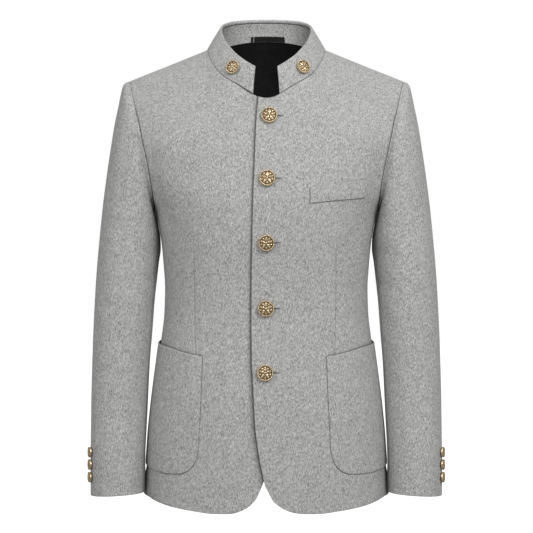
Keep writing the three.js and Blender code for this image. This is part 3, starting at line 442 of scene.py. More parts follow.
def fold_relief(points, lines):
    """Height of soft folds along the outward direction: troughs are below zero."""
    height = np.zeros(points.shape[:-1])
    for line, width, depth in lines:
        close = near_line(points, line)
        height -= depth * np.exp(-((close / width) ** 2))
    return height


def torso_lines(rows, back=False):
    out = []
    for x0, z0, x1, z1, width, depth in rows:
        x, z = np.linspace(x0, x1, 40), np.linspace(z0, z1, 40)
        out.append((torso(angle_at(x, z, back), z), width, depth))
    return out


TORSO_LINES = torso_lines(FRONT_FOLDS) + torso_lines(BACK_FOLDS, True)


def lengths(points, axis):
    """Running length of a grid along an axis."""
    step = np.linalg.norm(np.diff(points, axis=axis), axis=-1)
    zero = np.zeros_like(np.take(step, [0], axis=axis))
    return np.concatenate([zero, np.cumsum(step, axis=axis)], axis=axis)


def add_rims(grid, radius):
    """Extra rows and columns close to a grid's edges, at the steps of a rolled edge."""
    for axis in (0, 1):
        for end in (0, 1):
            g = np.moveaxis(grid, axis, 0)
            if end:
                g = g[::-1]
            gap = np.linalg.norm(g[1, :, :3] - g[0, :, :3], axis=-1)[:, None]
            extra = [lerp(g[0], g[1], np.minimum(radius * s / gap, 0.3 + 0.5 * s)) for s in STEPS[1:]]
            g = np.concatenate([g[:1], np.stack(extra), g[1:]])
            if end:
                g = g[::-1]
            grid = np.moveaxis(g, 0, axis)
    return grid


def edge_distances(points):
    """Distance of each point of a grid from its left, right, bottom and top edge."""
    across, up = lengths(points, 1), lengths(points, 0)
    return across, across[:, -1:] - across, up, up[-1:] - up


def rolled(distance, radius):
    """How far a rolled edge drops at a distance from it."""
    q = radius - np.clip(distance, 0, radius)
    return radius - np.sqrt(np.maximum(radius**2 - q**2, 0))


def grid_faces(rows, cols, base=0, turned=False):
    i, j = np.meshgrid(np.arange(rows - 1), np.arange(cols - 1), indexing="ij")
    a = (base + i * cols + j).ravel()
    order = (a, a + 1, a + cols + 1, a + cols)
    return np.stack(order[::-1] if turned else order, 1)


def closed_shell(outer, inner):
    """Points and faces of a closed wall between two grids; the third result is the inner faces' mask."""
    rows, cols = outer.shape[:2]
    count = rows * cols
    points = np.concatenate([outer.reshape(-1, 3), inner.reshape(-1, 3)])
    index = np.arange(count).reshape(rows, cols)
    loop = np.concatenate([index[0, :-1], index[:-1, -1], index[-1, :0:-1], index[:0:-1, 0]])
    ahead = np.roll(loop, -1)
    rim = np.stack([ahead, loop, loop + count, ahead + count], 1)
    front, back = grid_faces(rows, cols), grid_faces(rows, cols, count, True)
    faces = np.concatenate([front, back, rim])
    inside = np.zeros(len(faces), bool)
    inside[len(front) : len(front) + len(back)] = True
    return points, faces, inside


def outward(points, faces):
    """Turns the faces of a closed mesh of quads round if they look in."""
    a, b, c, d = (points[faces[:, k]] for k in range(4))
    volume = (a * np.cross(b, c)).sum() + (a * np.cross(c, d)).sum()
    return faces[:, ::-1] if volume < 0 else faces


def make_piece(name, points, faces, materials, index=None, painted_shade=None):
    """Mesh object in metres with its place in its mesh. The last argument is painted shade: how much each
    point's colour is darkened in seams, creases and narrow gaps.
    """
    mesh = bpy.data.meshes.new(name)
    mesh.from_pydata((np.asarray(points) * MM).tolist(), [], np.asarray(faces).tolist())
    for material in materials:
        mesh.materials.append(material)
    if index is not None:
        mesh.polygons.foreach_set("material_index", np.asarray(index, np.int32))
    if painted_shade is not None:
        mark = mesh.attributes.new("painted_shade", "FLOAT", "POINT")
        mark.data.foreach_set("value", np.asarray(painted_shade, np.float32).ravel())
    mesh.shade_smooth()
    mesh.update()
    piece = bpy.data.objects.new(name, mesh)
    bpy.context.scene.collection.objects.link(piece)
    return piece


def stand_for(piece, node):
    """The piece rides on the blazer in place of a node, which is hidden."""
    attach(piece, "root")
    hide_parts(node)


def mirrored(grid):
    """A grid of points and directions on the other side of the middle plane."""
    out = grid.copy()
    out[..., 0] *= -1
    out[..., 3] *= -1
    return out


def panel_grid(places, columns, rows, shift):
    """Points and outward directions of a torso panel, and its shares up it."""
    s, t = np.meshgrid(columns, rows)
    q = places(s, t)
    p = torso(q[..., 0], q[..., 1])
    n = torso_normal(q[..., 0], q[..., 1])
    p[..., 1] += shift
    return np.concatenate([p, n, t[..., None]], -1)


def under_push(x):
    """How far the under front lies inside the upper one where it is covered."""
    return -UNDER_PUSH * ease((62 - x) / 38)


def armhole_hold(grid, right, top):
    """How much of a fold is left near the armhole, the neck and the shoulder."""
    arm = ease((grid[..., 6] - ARM_SHARE + 0.05) / 0.05)
    return (1 - arm * (1 - ease(right / 16))) * ease(top / 16)


def outline_hold(grid):
    """How much of a fold is left where the cloth turns away at the sides."""
    return ease(np.abs(grid[..., 4]) / 0.34)


def body_gap(p):
    """Sideways distance of points from the torso at their own depth and height."""
    x, y, z = np.abs(p[..., 0]), p[..., 1], p[..., 2]
    deep = np.where(y < 0, front_depth(z), back_depth(z))
    reach = np.clip(1 - np.clip(np.abs(y) / deep, 0, 1) ** SQUARENESS, 0, 1) ** (1 / SQUARENESS)
    return np.maximum(x - half_width(z) * reach, 0)


def sleeve_gap(p):
    """Sideways distance of points of the body from the sleeve's inner side."""
    at = np.interp(-p[..., 2], -SLEEVE[:, 3], SLEEVE[:, 2])
    return np.maximum(at - np.abs(p[..., 0]), 0)


def close_shade(grid, gap, strength, reach):
    """Painted shade where the cloth faces the narrow space between sleeve and body."""
    z = grid[..., 2]
    low, high = ease((-560 - z) / 90), ease((z + 420) / 110) * ease((-70 - z) / 120)
    return strength * np.exp(-gap / reach) * np.maximum(low, high)


def seam_share(grid):
    """How deep a seam is: the armhole's seam fades towards the shoulder's end."""
    return 1 - 0.8 * ease((np.abs(grid[..., 0]) - 150) / 40) * ease((grid[..., 2] + 135) / 70)


def seam_valley(distance, settings):
    return -settings.seam_depth / MM * np.exp(-((distance / 3.2) ** 2))


# Colours, masks and materials


def new_tree(material):
    material.use_nodes = True
    tree = material.node_tree
    tree.nodes.clear()
    return tree


def add(tree, kind, values=None, **properties):
    """Node of a kind with its properties and the values of its inputs."""
    node = tree.nodes.new(kind)
    for key, value in properties.items():
        setattr(node, key, value)
    for key, value in (values or {}).items():
        node.inputs[key].default_value = value
    return node


def link(tree, source, target):
    tree.links.new(source, target)


def math_node(tree, operation, a, b=None):
    """Math node fed by sockets or numbers."""
    node = add(tree, "ShaderNodeMath", operation=operation)
    for socket, value in zip(node.inputs, (a, b)):
        if value is None:
            continue
        if isinstance(value, (int, float)):
            socket.default_value = value
        else:
            link(tree, value, socket)
    return node.outputs[0]


def colour_mix(tree, factor, a, b):
    """Mix of two colours by a factor; each may be a socket or a colour."""
    node = add(tree, "ShaderNodeMix", data_type="RGBA")
    for socket, value in zip((node.inputs[0], node.inputs[6], node.inputs[7]), (factor, a, b)):
        if isinstance(value, bpy.types.NodeSocket):
            link(tree, value, socket)
        else:
            socket.default_value = value
    return node.outputs[2]


def new_group(name, inputs, outputs):
    """Empty shader group with named sockets: name to (kind, default)."""
    group = bpy.data.node_groups.new(name, "ShaderNodeTree")
    for title, (kind, default) in inputs.items():
        socket = group.interface.new_socket(name=title, in_out="INPUT", socket_type=kind)
        if default is not None:
            socket.default_value = default
    for title, kind in outputs.items():
        group.interface.new_socket(name=title, in_out="OUTPUT", socket_type=kind)
    return group, group.nodes.new("NodeGroupInput"), group.nodes.new("NodeGroupOutput")


def fleck_group():
    """Fibres of mixed light and dark wool: a colour, and the height of the nap."""
    name = "mixed_fibres"
    if name in bpy.data.node_groups:
        return bpy.data.node_groups[name]
    group, given, result = new_group(
        name,
        {
            "Light": ("NodeSocketColor", (0.5, 0.5, 0.5, 1)),
            "Dark": ("NodeSocketColor", (0.2, 0.2, 0.2, 1)),
            "Fleck size": ("NodeSocketFloat", 0.0015),
            "Contrast": ("NodeSocketFloat", 1.0),
        },
        {"Color": "NodeSocketColor", "Height": "NodeSocketFloat"},
    )
    place = add(group, "ShaderNodeTexCoord").outputs["Object"]
    per_metre = math_node(group, "DIVIDE", 1.0, given.outputs["Fleck size"])

    def noise(share, detail, rough, stretch=None, distortion=0.0):
        scale = math_node(group, "MULTIPLY", per_metre, share)
        values = {"Detail": detail, "Roughness": rough, "Distortion": distortion}
        node = add(group, "ShaderNodeTexNoise", values)
        link(group, scale, node.inputs["Scale"])
        if stretch:
            mapping = add(group, "ShaderNodeMapping", {"Scale": stretch, "Rotation": (0.5, 0.35, 0.2)})
            link(group, place, mapping.inputs["Vector"])
            link(group, mapping.outputs[0], node.inputs["Vector"])
        else:
            link(group, place, node.inputs["Vector"])
        return math_node(group, "SUBTRACT", node.outputs[0], 0.5)

    blotch = noise(0.16, 2.0, 0.5)
    fleck = noise(0.42, 2.0, 0.6, None, 0.4)
    fibre = noise(1.1, 2.0, 0.6, (1, 1, 0.35))
    hair = noise(2.6, 2.0, 0.7, (0.3, 1, 1), 0.6)
    parts = [(blotch, 0.2), (fleck, 0.66), (fibre, 1.75), (hair, 1.3)]
    total = None
    for socket, weight in parts:
        scaled = math_node(group, "MULTIPLY", socket, weight)
        total = scaled if total is None else math_node(group, "ADD", total, scaled)
    strong = math_node(group, "MULTIPLY", total, given.outputs["Contrast"])
    mask = add(group, "ShaderNodeClamp")
    link(group, math_node(group, "ADD", strong, 0.5), mask.inputs[0])
    colour = colour_mix(group, mask.outputs[0], given.outputs["Dark"], given.outputs["Light"])
    link(group, colour, result.inputs["Color"])
    bumps = [math_node(group, "MULTIPLY", *part) for part in ((fibre, 0.6), (hair, 0.6), (fleck, 0.5))]
    nap = math_node(group, "ADD", bumps[0], bumps[1])
    link(group, math_node(group, "ADD", nap, bumps[2]), result.inputs["Height"])
    return group


def wear_and_painted_sheen_group():
    """Slow change over a surface, for uneven roughness, tarnish and painted sheen: a mask between two levels.
    """
    name = "uneven_wear"
    if name in bpy.data.node_groups:
        return bpy.data.node_groups[name]
    group, given, result = new_group(
        name,
        {
            "Patch size": ("NodeSocketFloat", 0.02),
            "Low": ("NodeSocketFloat", 0.3),
            "High": ("NodeSocketFloat", 0.5),
        },
        {"Value": "NodeSocketFloat"},
    )
    noise = add(group, "ShaderNodeTexNoise", {"Detail": 3.0, "Roughness": 0.55})
    link(group, add(group, "ShaderNodeTexCoord").outputs["Object"], noise.inputs["Vector"])
    link(group, math_node(group, "DIVIDE", 1.0, given.outputs["Patch size"]), noise.inputs["Scale"])
    spread = add(group, "ShaderNodeMapRange", {"From Min": 0.3, "From Max": 0.7})
    link(group, noise.outputs[0], spread.inputs["Value"])
    link(group, given.outputs["Low"], spread.inputs["To Min"])
    link(group, given.outputs["High"], spread.inputs["To Max"])
    link(group, spread.outputs[0], result.inputs["Value"])
    return group


def put_group(tree, group, values):
    node = tree.nodes.new("ShaderNodeGroup")
    node.node_tree = group
    for key, value in values.items():
        node.inputs[key].default_value = value
    return node


def finish_surface(
    tree, shader_values, colour=None, height=None, bump=(0.3, 0.0003), rough=None, metallic=None
):
    """Principled surface with its constants on its own sockets, and the rest linked."""
    shader = add(tree, "ShaderNodeBsdfPrincipled", shader_values)
    output = add(tree, "ShaderNodeOutputMaterial")
    link(tree, shader.outputs[0], output.inputs[0])
    if colour is not None:
        link(tree, colour, shader.inputs["Base Color"])
    if rough is not None:
        link(tree, rough, shader.inputs["Roughness"])
    if metallic is not None:
        link(tree, metallic, shader.inputs["Metallic"])
    if height is not None:
        node = add(tree, "ShaderNodeBump", {"Strength": bump[0], "Distance": bump[1]})
        link(tree, height, node.inputs["Height"])
        link(tree, node.outputs[0], shader.inputs["Normal"])
    return shader


def wool_material(settings):
    if "melange_wool" in bpy.data.materials:
        return bpy.data.materials["melange_wool"]
    material = bpy.data.materials.new("melange_wool")
    tree = new_tree(material)
    values = {
        "Light": settings.wool_light,
        "Dark": settings.wool_dark,
        "Fleck size": settings.fleck_size,
        "Contrast": 1.0,
    }
    fibres = put_group(tree, fleck_group(), values)
    # Painted shade: the wool's colour is darkened towards a near black in seams, darts, creases, under pocket
    # edges and in the narrow gaps between sleeve and body.
    painted_shade = add(tree, "ShaderNodeAttribute", attribute_name="painted_shade").outputs["Fac"]
    colour = colour_mix(tree, painted_shade, fibres.outputs["Color"], settings.painted_shade_colour)
    constants = {"Roughness": 0.92, "Sheen Weight": 0.1, "Sheen Roughness": 0.5, "Specular IOR Level": 0.2}
    finish_surface(tree, constants, colour, fibres.outputs["Height"], (0.3, 0.0005))
    return material


def thread_material(settings):
    if "wool_thread" in bpy.data.materials:
        return bpy.data.materials["wool_thread"]
    material = bpy.data.materials.new("wool_thread")
    tree = new_tree(material)
    dark = [c * 0.7 for c in settings.thread[:3]] + [1]
    values = {"Light": settings.thread, "Dark": dark, "Fleck size": 0.0006, "Contrast": 0.8}
    fibres = put_group(tree, fleck_group(), values)
    constants = {"Roughness": 0.7, "Sheen Weight": 0.1, "Specular IOR Level": 0.3}
    finish_surface(tree, constants, fibres.outputs["Color"], fibres.outputs["Height"], (0.3, 0.0002))
    return material


def lining_material(settings, name="black_satin", share=1.0):
    """Satin of the lining, or of the hanger loop's darker tape."""
    if name in bpy.data.materials:
        return bpy.data.materials[name]
    material = bpy.data.materials.new(name)
    tree = new_tree(material)
    base = [c * share for c in settings.lining[:3]] + [1]
    rough = put_group(tree, wear_and_painted_sheen_group(), {"Patch size": 0.03, "Low": 0.34, "High": 0.5})
    # Painted sheen: soft patches of the satin's colour lightened to 1.6 times its base.
    light = [min(1, c * 1.6) for c in base[:3]] + [1]
    shade = put_group(tree, wear_and_painted_sheen_group(), {"Patch size": 0.008, "Low": 0.0, "High": 1.0})
    colour = colour_mix(tree, shade.outputs[0], base, light)
    place = add(tree, "ShaderNodeTexCoord").outputs["Object"]
    values = {"Scale": 900.0, "Distortion": 1.5, "Detail": 1.0}
    ribs = add(tree, "ShaderNodeTexWave", values, bands_direction="DIAGONAL")
    link(tree, place, ribs.inputs["Vector"])
    constants = {"Specular IOR Level": 0.25, "Sheen Weight": 0.04}
    finish_surface(tree, constants, colour, ribs.outputs["Fac"], (0.08, 0.0001), rough.outputs[0])
    return material


def brass_material(settings):
    if "antique_brass" in bpy.data.materials:
        return bpy.data.materials["antique_brass"]
    material = bpy.data.materials.new("antique_brass")
    tree = new_tree(material)
    recess = add(tree, "ShaderNodeAttribute", attribute_name="recess").outputs["Fac"]
    tarnish = put_group(tree, wear_and_painted_sheen_group(), {"Patch size": 0.0025, "Low": -0.18, "High": 0.22})
    dark = add(tree, "ShaderNodeMapRange", {"From Min": 0.35, "From Max": 1.05})
    link(tree, math_node(tree, "ADD", recess, tarnish.outputs[0]), dark.inputs["Value"])
    colour = colour_mix(tree, dark.outputs[0], settings.brass, settings.patina)
    rough = math_node(tree, "ADD", math_node(tree, "MULTIPLY", dark.outputs[0], 0.3), 0.3)
    metallic = math_node(tree, "SUBTRACT", 1.0, math_node(tree, "MULTIPLY", dark.outputs[0], 0.5))
    pits = put_group(tree, wear_and_painted_sheen_group(), {"Patch size": 0.0008, "Low": 0.0, "High": 1.0})
    bump = (0.25, 0.0001)
    finish_surface(tree, {"Specular IOR Level": 0.5}, colour, pits.outputs[0], bump, rough, metallic)
    return material


# Pieces


def cloth_piece(name, grid, settings, relief, sides, inner_wool, wall=WOOL):
    """Closed wool wall on a grid. sides: which of left, right, bottom, top are seams;
    inner_wool: how much of the inside is wool along each side, before the lining starts."""
    radius = settings.edge_radius / MM
    grid = add_rims(grid, radius)
    p, n = grid[..., :3], grid[..., 3:6]
    distances = edge_distances(p)
    nearest = np.minimum.reduce(distances)
    height, painted_shade = relief(grid, distances)
    deep = seam_share(grid)
    for distance, is_seam in zip(distances, sides):
        if is_seam:
            height = height + seam_valley(distance, settings) * deep
            # Painted shade deep in each seam, on top of the seam's real dip.
            painted_shade = np.maximum(painted_shade, 0.8 * np.exp(-((distance / 0.75) ** 2)) * deep)
    outer = p + n * (height - rolled(nearest, radius) * lerp(0.3, 1, deep))[..., None]
    inner = p + n * (height - wall + rolled(nearest, 0.5))[..., None]
    points, faces, inside = closed_shell(outer, inner)
    index = np.zeros(len(faces), int)
    lined = np.ones(p.shape[:2], bool)
    for distance, width in zip(distances, inner_wool):
        lined &= distance > width
    quads = lined[:-1, :-1] & lined[1:, 1:]
    index[inside] = quads.ravel()
    faces = outward(points, faces)
    materials = [wool_material(settings), lining_material(settings)]
    piece = make_piece(name, points, faces, materials, index, np.concatenate([painted_shade, painted_shade]))
    return piece, p


def torso_relief(grid, distances):
    """Folds of the torso, held flat near the armhole, neck and shoulder; and no painted shade."""
    hold = armhole_hold(grid, distances[1], distances[3]) * outline_hold(grid)
    height = fold_relief(grid[..., :3], TORSO_LINES) * hold
    flare = np.exp(-((grid[..., 4] / 0.25) ** 2)) * ease((-655 - grid[..., 2]) / 13)
    height = height + 1.2 * flare
    return height, 0 * height


def dart_relief(grid, side, settings):
    """Narrow groove of a dart, and the painted shade along it."""
    x0, x1, z0, z1 = DARTS[side]
    z = grid[..., 2]
    line = lerp(x0, x1, (z - z0) / (z1 - z0))
    along = ease((z0 - z) / 30) * ease((z - z1 + 4) / 4)
    close = np.abs(grid[..., 0] - line)
    groove = np.exp(-((close / 0.8) ** 2)) * settings.dart_depth / MM + 0.35 * np.exp(-((close / 6) ** 2))
    return -groove * along, 0.35 * np.exp(-((close / 0.65) ** 2)) * along


def with_dart(places, side, columns):
    """Net whose nearest column follows a dart, with close columns on both sides of it."""
    x0, x1, z0, z1 = DARTS[side]
    x0, x1 = abs(x0), abs(x1)
    fine = np.linspace(0, 1, 400)
    middle_t = float(np.interp(lerp(z0, z1, 0.5), [HEM_BACK, ARMPIT], [0, ARM_SHARE]))

    def share_at(t):
        q = places(fine, np.full_like(fine, t))
        p = torso(q[:, 0], q[:, 1])
        line = lerp(x0, x1, np.clip((p[:, 2] - z0) / (z1 - z0), -0.3, 1.3))
        return float(np.interp(0, p[:, 0] - line, fine))

    home = share_at(middle_t)
    table_t = np.linspace(0, ARM_SHARE, 60)
    table_s = np.array([share_at(t) for t in table_t])
    hold = ease(table_t / 0.12) * ease((ARM_SHARE - table_t) / 0.12)
    table_s = lerp(home, table_s, hold)

    def warped(s, t):
        at = np.interp(t, table_t, table_s)
        at = np.where(t > ARM_SHARE, home, at)
        low = s / home * at
        high = at + (s - home) / (1 - home) * (1 - at)
        return places(np.where(s < home, low, high), t)

    width = 290.0
    extra = home + np.array([-3.2, -2.0, -1.3, -0.8, -0.4, 0, 0.4, 0.8, 1.3, 2.0, 3.2]) / width
    near = np.abs(columns - home) < 4.4 / width
    return warped, np.sort(np.concatenate([columns[~near], extra]))


def cut_buttonholes(piece):
    """Cuts the eye and the slit of each buttonhole through the upper front."""
    cutters = bmesh.new()
    for x, z in FRONT_BUTTONS:
        angle = angle_at(x, z)
        p, n = torso(angle, z), torso_normal(angle, z)
        turn = Vector((0, 0, 1)).rotation_difference(Vector(n)).to_matrix().to_4x4()
        turn.translation = Vector(p) * MM
        outline = []
        for a in np.radians(np.linspace(20, 340, 21)):
            outline.append((HOLE_EYE / 2 * np.cos(a), HOLE_EYE / 2 * np.sin(a)))
        outline += [(HOLE_END, -HOLE_SLIT / 4), (HOLE_END + 0.4, 0), (HOLE_END, HOLE_SLIT / 4)]
        low = [cutters.verts.new(turn @ Vector((u * MM, v * MM, -5 * MM))) for u, v in outline]
        high = [cutters.verts.new(turn @ Vector((u * MM, v * MM, 5 * MM))) for u, v in outline]
        cutters.faces.new(low[::-1])
        cutters.faces.new(high)
        count = len(outline)
        for k in range(count):
            cutters.faces.new((low[k], low[(k + 1) % count], high[(k + 1) % count], high[k]))
    bmesh.ops.recalc_face_normals(cutters, faces=cutters.faces)
    mesh = bpy.data.meshes.new("buttonhole_cutters")
    cutters.to_mesh(mesh)
    cutters.free()
    tool = bpy.data.objects.new("buttonhole_cutters", mesh)
    bpy.context.scene.collection.objects.link(tool)
    modifier = piece.modifiers.new("buttonholes", "BOOLEAN")
    modifier.operation = "DIFFERENCE"
    modifier.solver = "EXACT"
    modifier.object = tool
    cut = evaluated_mesh(piece)
    piece.modifiers.clear()
    piece.data = cut
    bpy.data.objects.remove(tool)


def evaluated_mesh(obj):
    """Plain mesh of an object with its modifiers."""
    graph = bpy.context.evaluated_depsgraph_get()
    graph.update()
    return bpy.data.meshes.new_from_object(obj.evaluated_get(graph))


def closer(values, fine, place, low, high, pitch):
    """Shares with those between two places put at a smaller pitch."""
    a, b = np.interp([low, high], place, fine)
    between = np.interp(np.arange(low, high, pitch), place, fine)
    return np.sort(np.concatenate([values[(values < a - 1e-4) | (values > b + 1e-4)], between]))


def mouth_shadow(grid, side):
    """Painted shadow on a front just above its pocket's mouth."""
    x, z = np.abs(grid[..., 0]), grid[..., 2]
    rows = [(x - POCKET_IN[side] * min(max((172 - x) / 50, 0), 1), z) for x, z in POCKET_MOUTH]
    above = z - curve(*zip(*rows))(x)
    wide = ease((x - rows[0][0] + 1) / 6) * ease((176 - x) / 10) * (grid[..., 4] < 0)
    return wide * (0.5 * np.exp(-((above / 1.6) ** 2)) + 0.2 * np.exp(-((above / 5) ** 2)))


def edge_shadow(grid):
    """Painted shadow on the under front beside the upper front's edge, wider towards the hem."""
    x, z = grid[..., 0], grid[..., 2]
    edge = curve([z for _, z in EDGE_OVER], [x for x, _ in EDGE_OVER])(z)
    away = edge - x
    wide = lerp(3.4, 5.6, ease((-250 - z) / 380))
    return 0.75 * np.exp(-((np.maximum(away, 0) / wide) ** 2)) * (grid[..., 4] < 0)


def front_grids(settings):
    """Grids of the upper and the under front, with the dart in each."""
    out = {}
    specs = {1: (EDGE_OVER, HEM_FRONT, (-12, -80.4)), -1: (EDGE_UNDER, HEM_UNDER, (-12, -80.8))}
    pitch = settings.pitch / MM
    fine = np.linspace(0, 1, 2001)
    for side, (edge, hem, start) in specs.items():
        places = front_net(edge, hem, start)

        def up_column(t, places=places):
            q = places(np.full_like(t, 0.8), t)
            return torso(q[:, 0], q[:, 1])

        def across_row(s, places=places):
            q = places(s, np.full_like(s, 0.45))
            return torso(q[:, 0], q[:, 1])

        rows = shares(up_column, [0, ARM_SHARE, 1], pitch)
        rows = closer(rows, fine, up_column(fine)[:, 2], -490, -452, 1.3)
        columns = shares(across_row, [0, COLLAR_COLUMN, NECK_COLUMN, 1], pitch)
        if side < 0:
            columns = closer(columns, fine, across_row(fine)[:, 0], -14, 36, 1.3)
        places, columns = with_dart(places, side, columns)
        grid = panel_grid(places, columns, rows, -SEWN / 2)
        out[side] = grid if side > 0 else mirrored(grid)
    return out


def pocket_places(rows, side):
    """Rows of a pocket's edge as angle and height, with the inner side moved for that side."""
    return seen([(x - POCKET_IN[side] * min(max((172 - x) / 50, 0), 1), z) for x, z in rows])


def pocket_grid(settings, side):
    pitch = settings.pitch / MM * 0.7
    mouth = torso_path(pocket_places(POCKET_MOUTH, side) + [(POCKET_END, POCKET_END_Z[2])])
    foot = torso_path(pocket_places(POCKET_FOOT, side) + [(POCKET_END, POCKET_END_Z[0])])
    inner = torso_path(pocket_places(POCKET_SIDE, side))
    outer = torso_path([(POCKET_END, z) for z in POCKET_END_Z])
    places = net(inner, outer, foot, mouth)
    columns = np.linspace(0, 1, int(mouth.length / pitch))
    rows = np.linspace(0, 1, int(outer.length / pitch))
    return panel_grid(places, columns, rows, 0)


def welt_grid():
    def side(i):
        return torso_path(seen([WELT_FOOT[i], WELT_TOP[i]]))

    def edge(row):
        middle = (lerp(row[0][0], row[1][0], 0.5), lerp(row[0][1], row[1][1], 0.5))
        return torso_path(seen([row[0], middle, row[1]]))

    places = net(side(0), side(1), edge(WELT_FOOT), edge(WELT_TOP))
    return panel_grid(places, np.linspace(0, 1, 56), np.linspace(0, 1, 17), 0)


def flared(p, widths):
    """Way out of a grid along its own surface at its left, right, lower and upper edge."""
    out = np.zeros_like(p)
    out[:, 0] += unit(p[:, 0] - p[:, 1]) * widths[0]
    out[:, -1] += unit(p[:, -1] - p[:, -2]) * widths[1]
    out[0] += unit(p[0] - p[1]) * widths[2]
    out[-1] += unit(p[-1] - p[-2]) * widths[3]
    return out


def patch_piece(name, grid, settings, free_puff, lines, mirror=False):
    """Cloth sewn flat on a front by its sides and foot, with its upper edge free. lines: how wide the
    line of painted shade is along its left, right, lower and upper edge."""
    radius = settings.edge_radius / MM
    grid = add_rims(mirrored(grid) if mirror else grid, radius)
    p, n = grid[..., :3], grid[..., 3:6]
    left, right, bottom, top = edge_distances(p)
    sewn = np.minimum.reduce([left, right, bottom])
    relief = fold_relief(p, TORSO_LINES)
    puff = free_puff * np.exp(-((top / 22) ** 2)) * ease(sewn / 26)
    press = 0.5 * np.exp(-((sewn / 4) ** 2))
    edge = rolled(np.minimum(sewn, top), radius)
    outer = p + n * (relief + PATCH_GAP + WOOL - press + puff - edge)[..., None]
    under = lerp(0.1, PATCH_GAP - press, ease(sewn / 3)) + puff + rolled(top, 0.5)
    inner = p + n * (relief + under)[..., None] + flared(p, np.array(lines) * settings.patch_seam / MM)
    points, faces, _ = closed_shell(outer, inner)
    # Painted shade: all over the underside, darkest under the free upper edge; along the sewn edges; and near
    # the sleeve.
    underside_painted_shade = lerp(1, 0.65, ease(top / 8))
    sleeve_painted_shade = close_shade(grid, sleeve_gap(p), 0.5, 7.0) * ease((-600 - p[..., 2]) / 60)
    painted_shade = np.concatenate([np.maximum(0.25 * np.exp(-((sewn / 0.5) ** 2)), sleeve_painted_shade), underside_painted_shade])
    wool = [wool_material(settings)]
    piece = make_piece(name, points, outward(points, faces), wool, None, painted_shade)
    return piece, p


def armhole_at(phi):
    """Point and outward direction of the armhole, by degrees round the sleeve."""
    turn = np.mod(phi, 360)
    front = turn <= 180
    share = np.where(front, 1 - turn / 180, 1 - (360 - turn) / 180)
    q = np.where(front[..., None], arm_front(share), arm_back(share))
    return torso(q[..., 0], q[..., 1]), torso_normal(q[..., 0], q[..., 1])


ring_values = [curve(np.linspace(0, 1, len(SLEEVE)), SLEEVE[:, k], hold=True) for k in range(7)]


def oval(u, phi):
    out_x, out_z, in_x, in_z, half, mid, _ = (f(u) for f in ring_values)
    c, s = np.cos(np.radians(phi)), np.sin(np.radians(phi))
    across = np.sign(c) * np.abs(c) ** (2 / SLEEVE_FULLNESS)
    depth = np.sign(s) * np.abs(s) ** (2 / SLEEVE_FULLNESS)
    x = (out_x + in_x) / 2 + (out_x - in_x) / 2 * across
    z = (out_z + in_z) / 2 + (out_z - in_z) / 2 * across
    return np.stack([x, mid - half * depth, z], -1)


def sleeve_point(u, phi):
    u, phi = np.broadcast_arrays(np.asarray(u, float), np.asarray(phi, float))
    residue = armhole_at(phi)[0] - oval(np.zeros_like(phi), phi)
    return oval(u, phi) + residue * (1 - ring_values[6](u))[..., None]


def sleeve_normal(u, phi):
    step = 0.004
    along = sleeve_point(np.minimum(1, u + step), phi) - sleeve_point(np.maximum(0, u - step), phi)
    around = sleeve_point(u, phi + 1) - sleeve_point(u, phi - 1)
    return unit(np.cross(around, along))


def sleeve_start(phi):
    """First ring: it leaves the armhole along the body's cloth."""
    phi = np.mod(phi, 360)
    p, n = armhole_at(phi)
    tangent = unit(armhole_at(phi + 1)[0] - armhole_at(phi - 1)[0])
    away = unit(np.cross(tangent, n))
    low_side = (phi > 120) & (phi < 240)
    away = np.where((away[..., 0] + low_side * away[..., 2] < 0)[..., None], -away, away)
    low = 1 - ease((np.abs(180 - phi) - 8) / 60)
    lift = low[..., None] * np.array([0.35, 0, 0.15])
    fold = np.array([0.75, 0, 0.65])
    return p + away * SEAM + lift, -unit(lerp(-n, fold, low[..., None]))


def sleeve_grid(first_seam, last_seam, settings):
    """Points and directions of a sleeve piece between two seams."""
    pitch = settings.pitch / MM

    def middle_line(u):
        return sleeve_point(u, lerp(first_seam[0], last_seam[0], 0.5))

    rings = shares(middle_line, [0, SLEEVE_START, 1], pitch)
    count = int(abs(last_seam[0] - first_seam[0]) / 360 * 400 / pitch)
    share = np.linspace(0, 1, count)
    u, k = np.meshgrid(rings, share, indexing="ij")
    drift = np.clip(u * 1.4, 0, 1)
    phi = lerp(lerp(*first_seam, drift), lerp(*last_seam, drift), k)
    p, n = sleeve_point(u, phi), sleeve_normal(np.maximum(u, 0.012), phi)
    start_p, start_n = sleeve_start(phi)
    leaving = np.clip(1 - u / SLEEVE_START, 0, 1)[..., None]
    p = p + (start_p - sleeve_point(0 * u, phi)) * leaving
    n = unit(lerp(n, start_n, leaving))
    around = unit(sleeve_point(u, phi + 1) - sleeve_point(u, phi - 1))
    slack = np.where(k == 0, 1, 0) - np.where(k == 1, 1, 0)
    p = p + around * (slack * SEAM / 2)[..., None]
    return np.concatenate([p, n, u[..., None]], -1)


def sleeve_lines(side):
    out = []
    for u0, a0, u1, a1, width, depth in SLEEVE_FOLDS[side]:
        line = sleeve_point(np.linspace(u0, u1, 40), np.linspace(a0, a1, 40))
        line[:, 0] *= side
        out.append((line, width, depth))
    return out


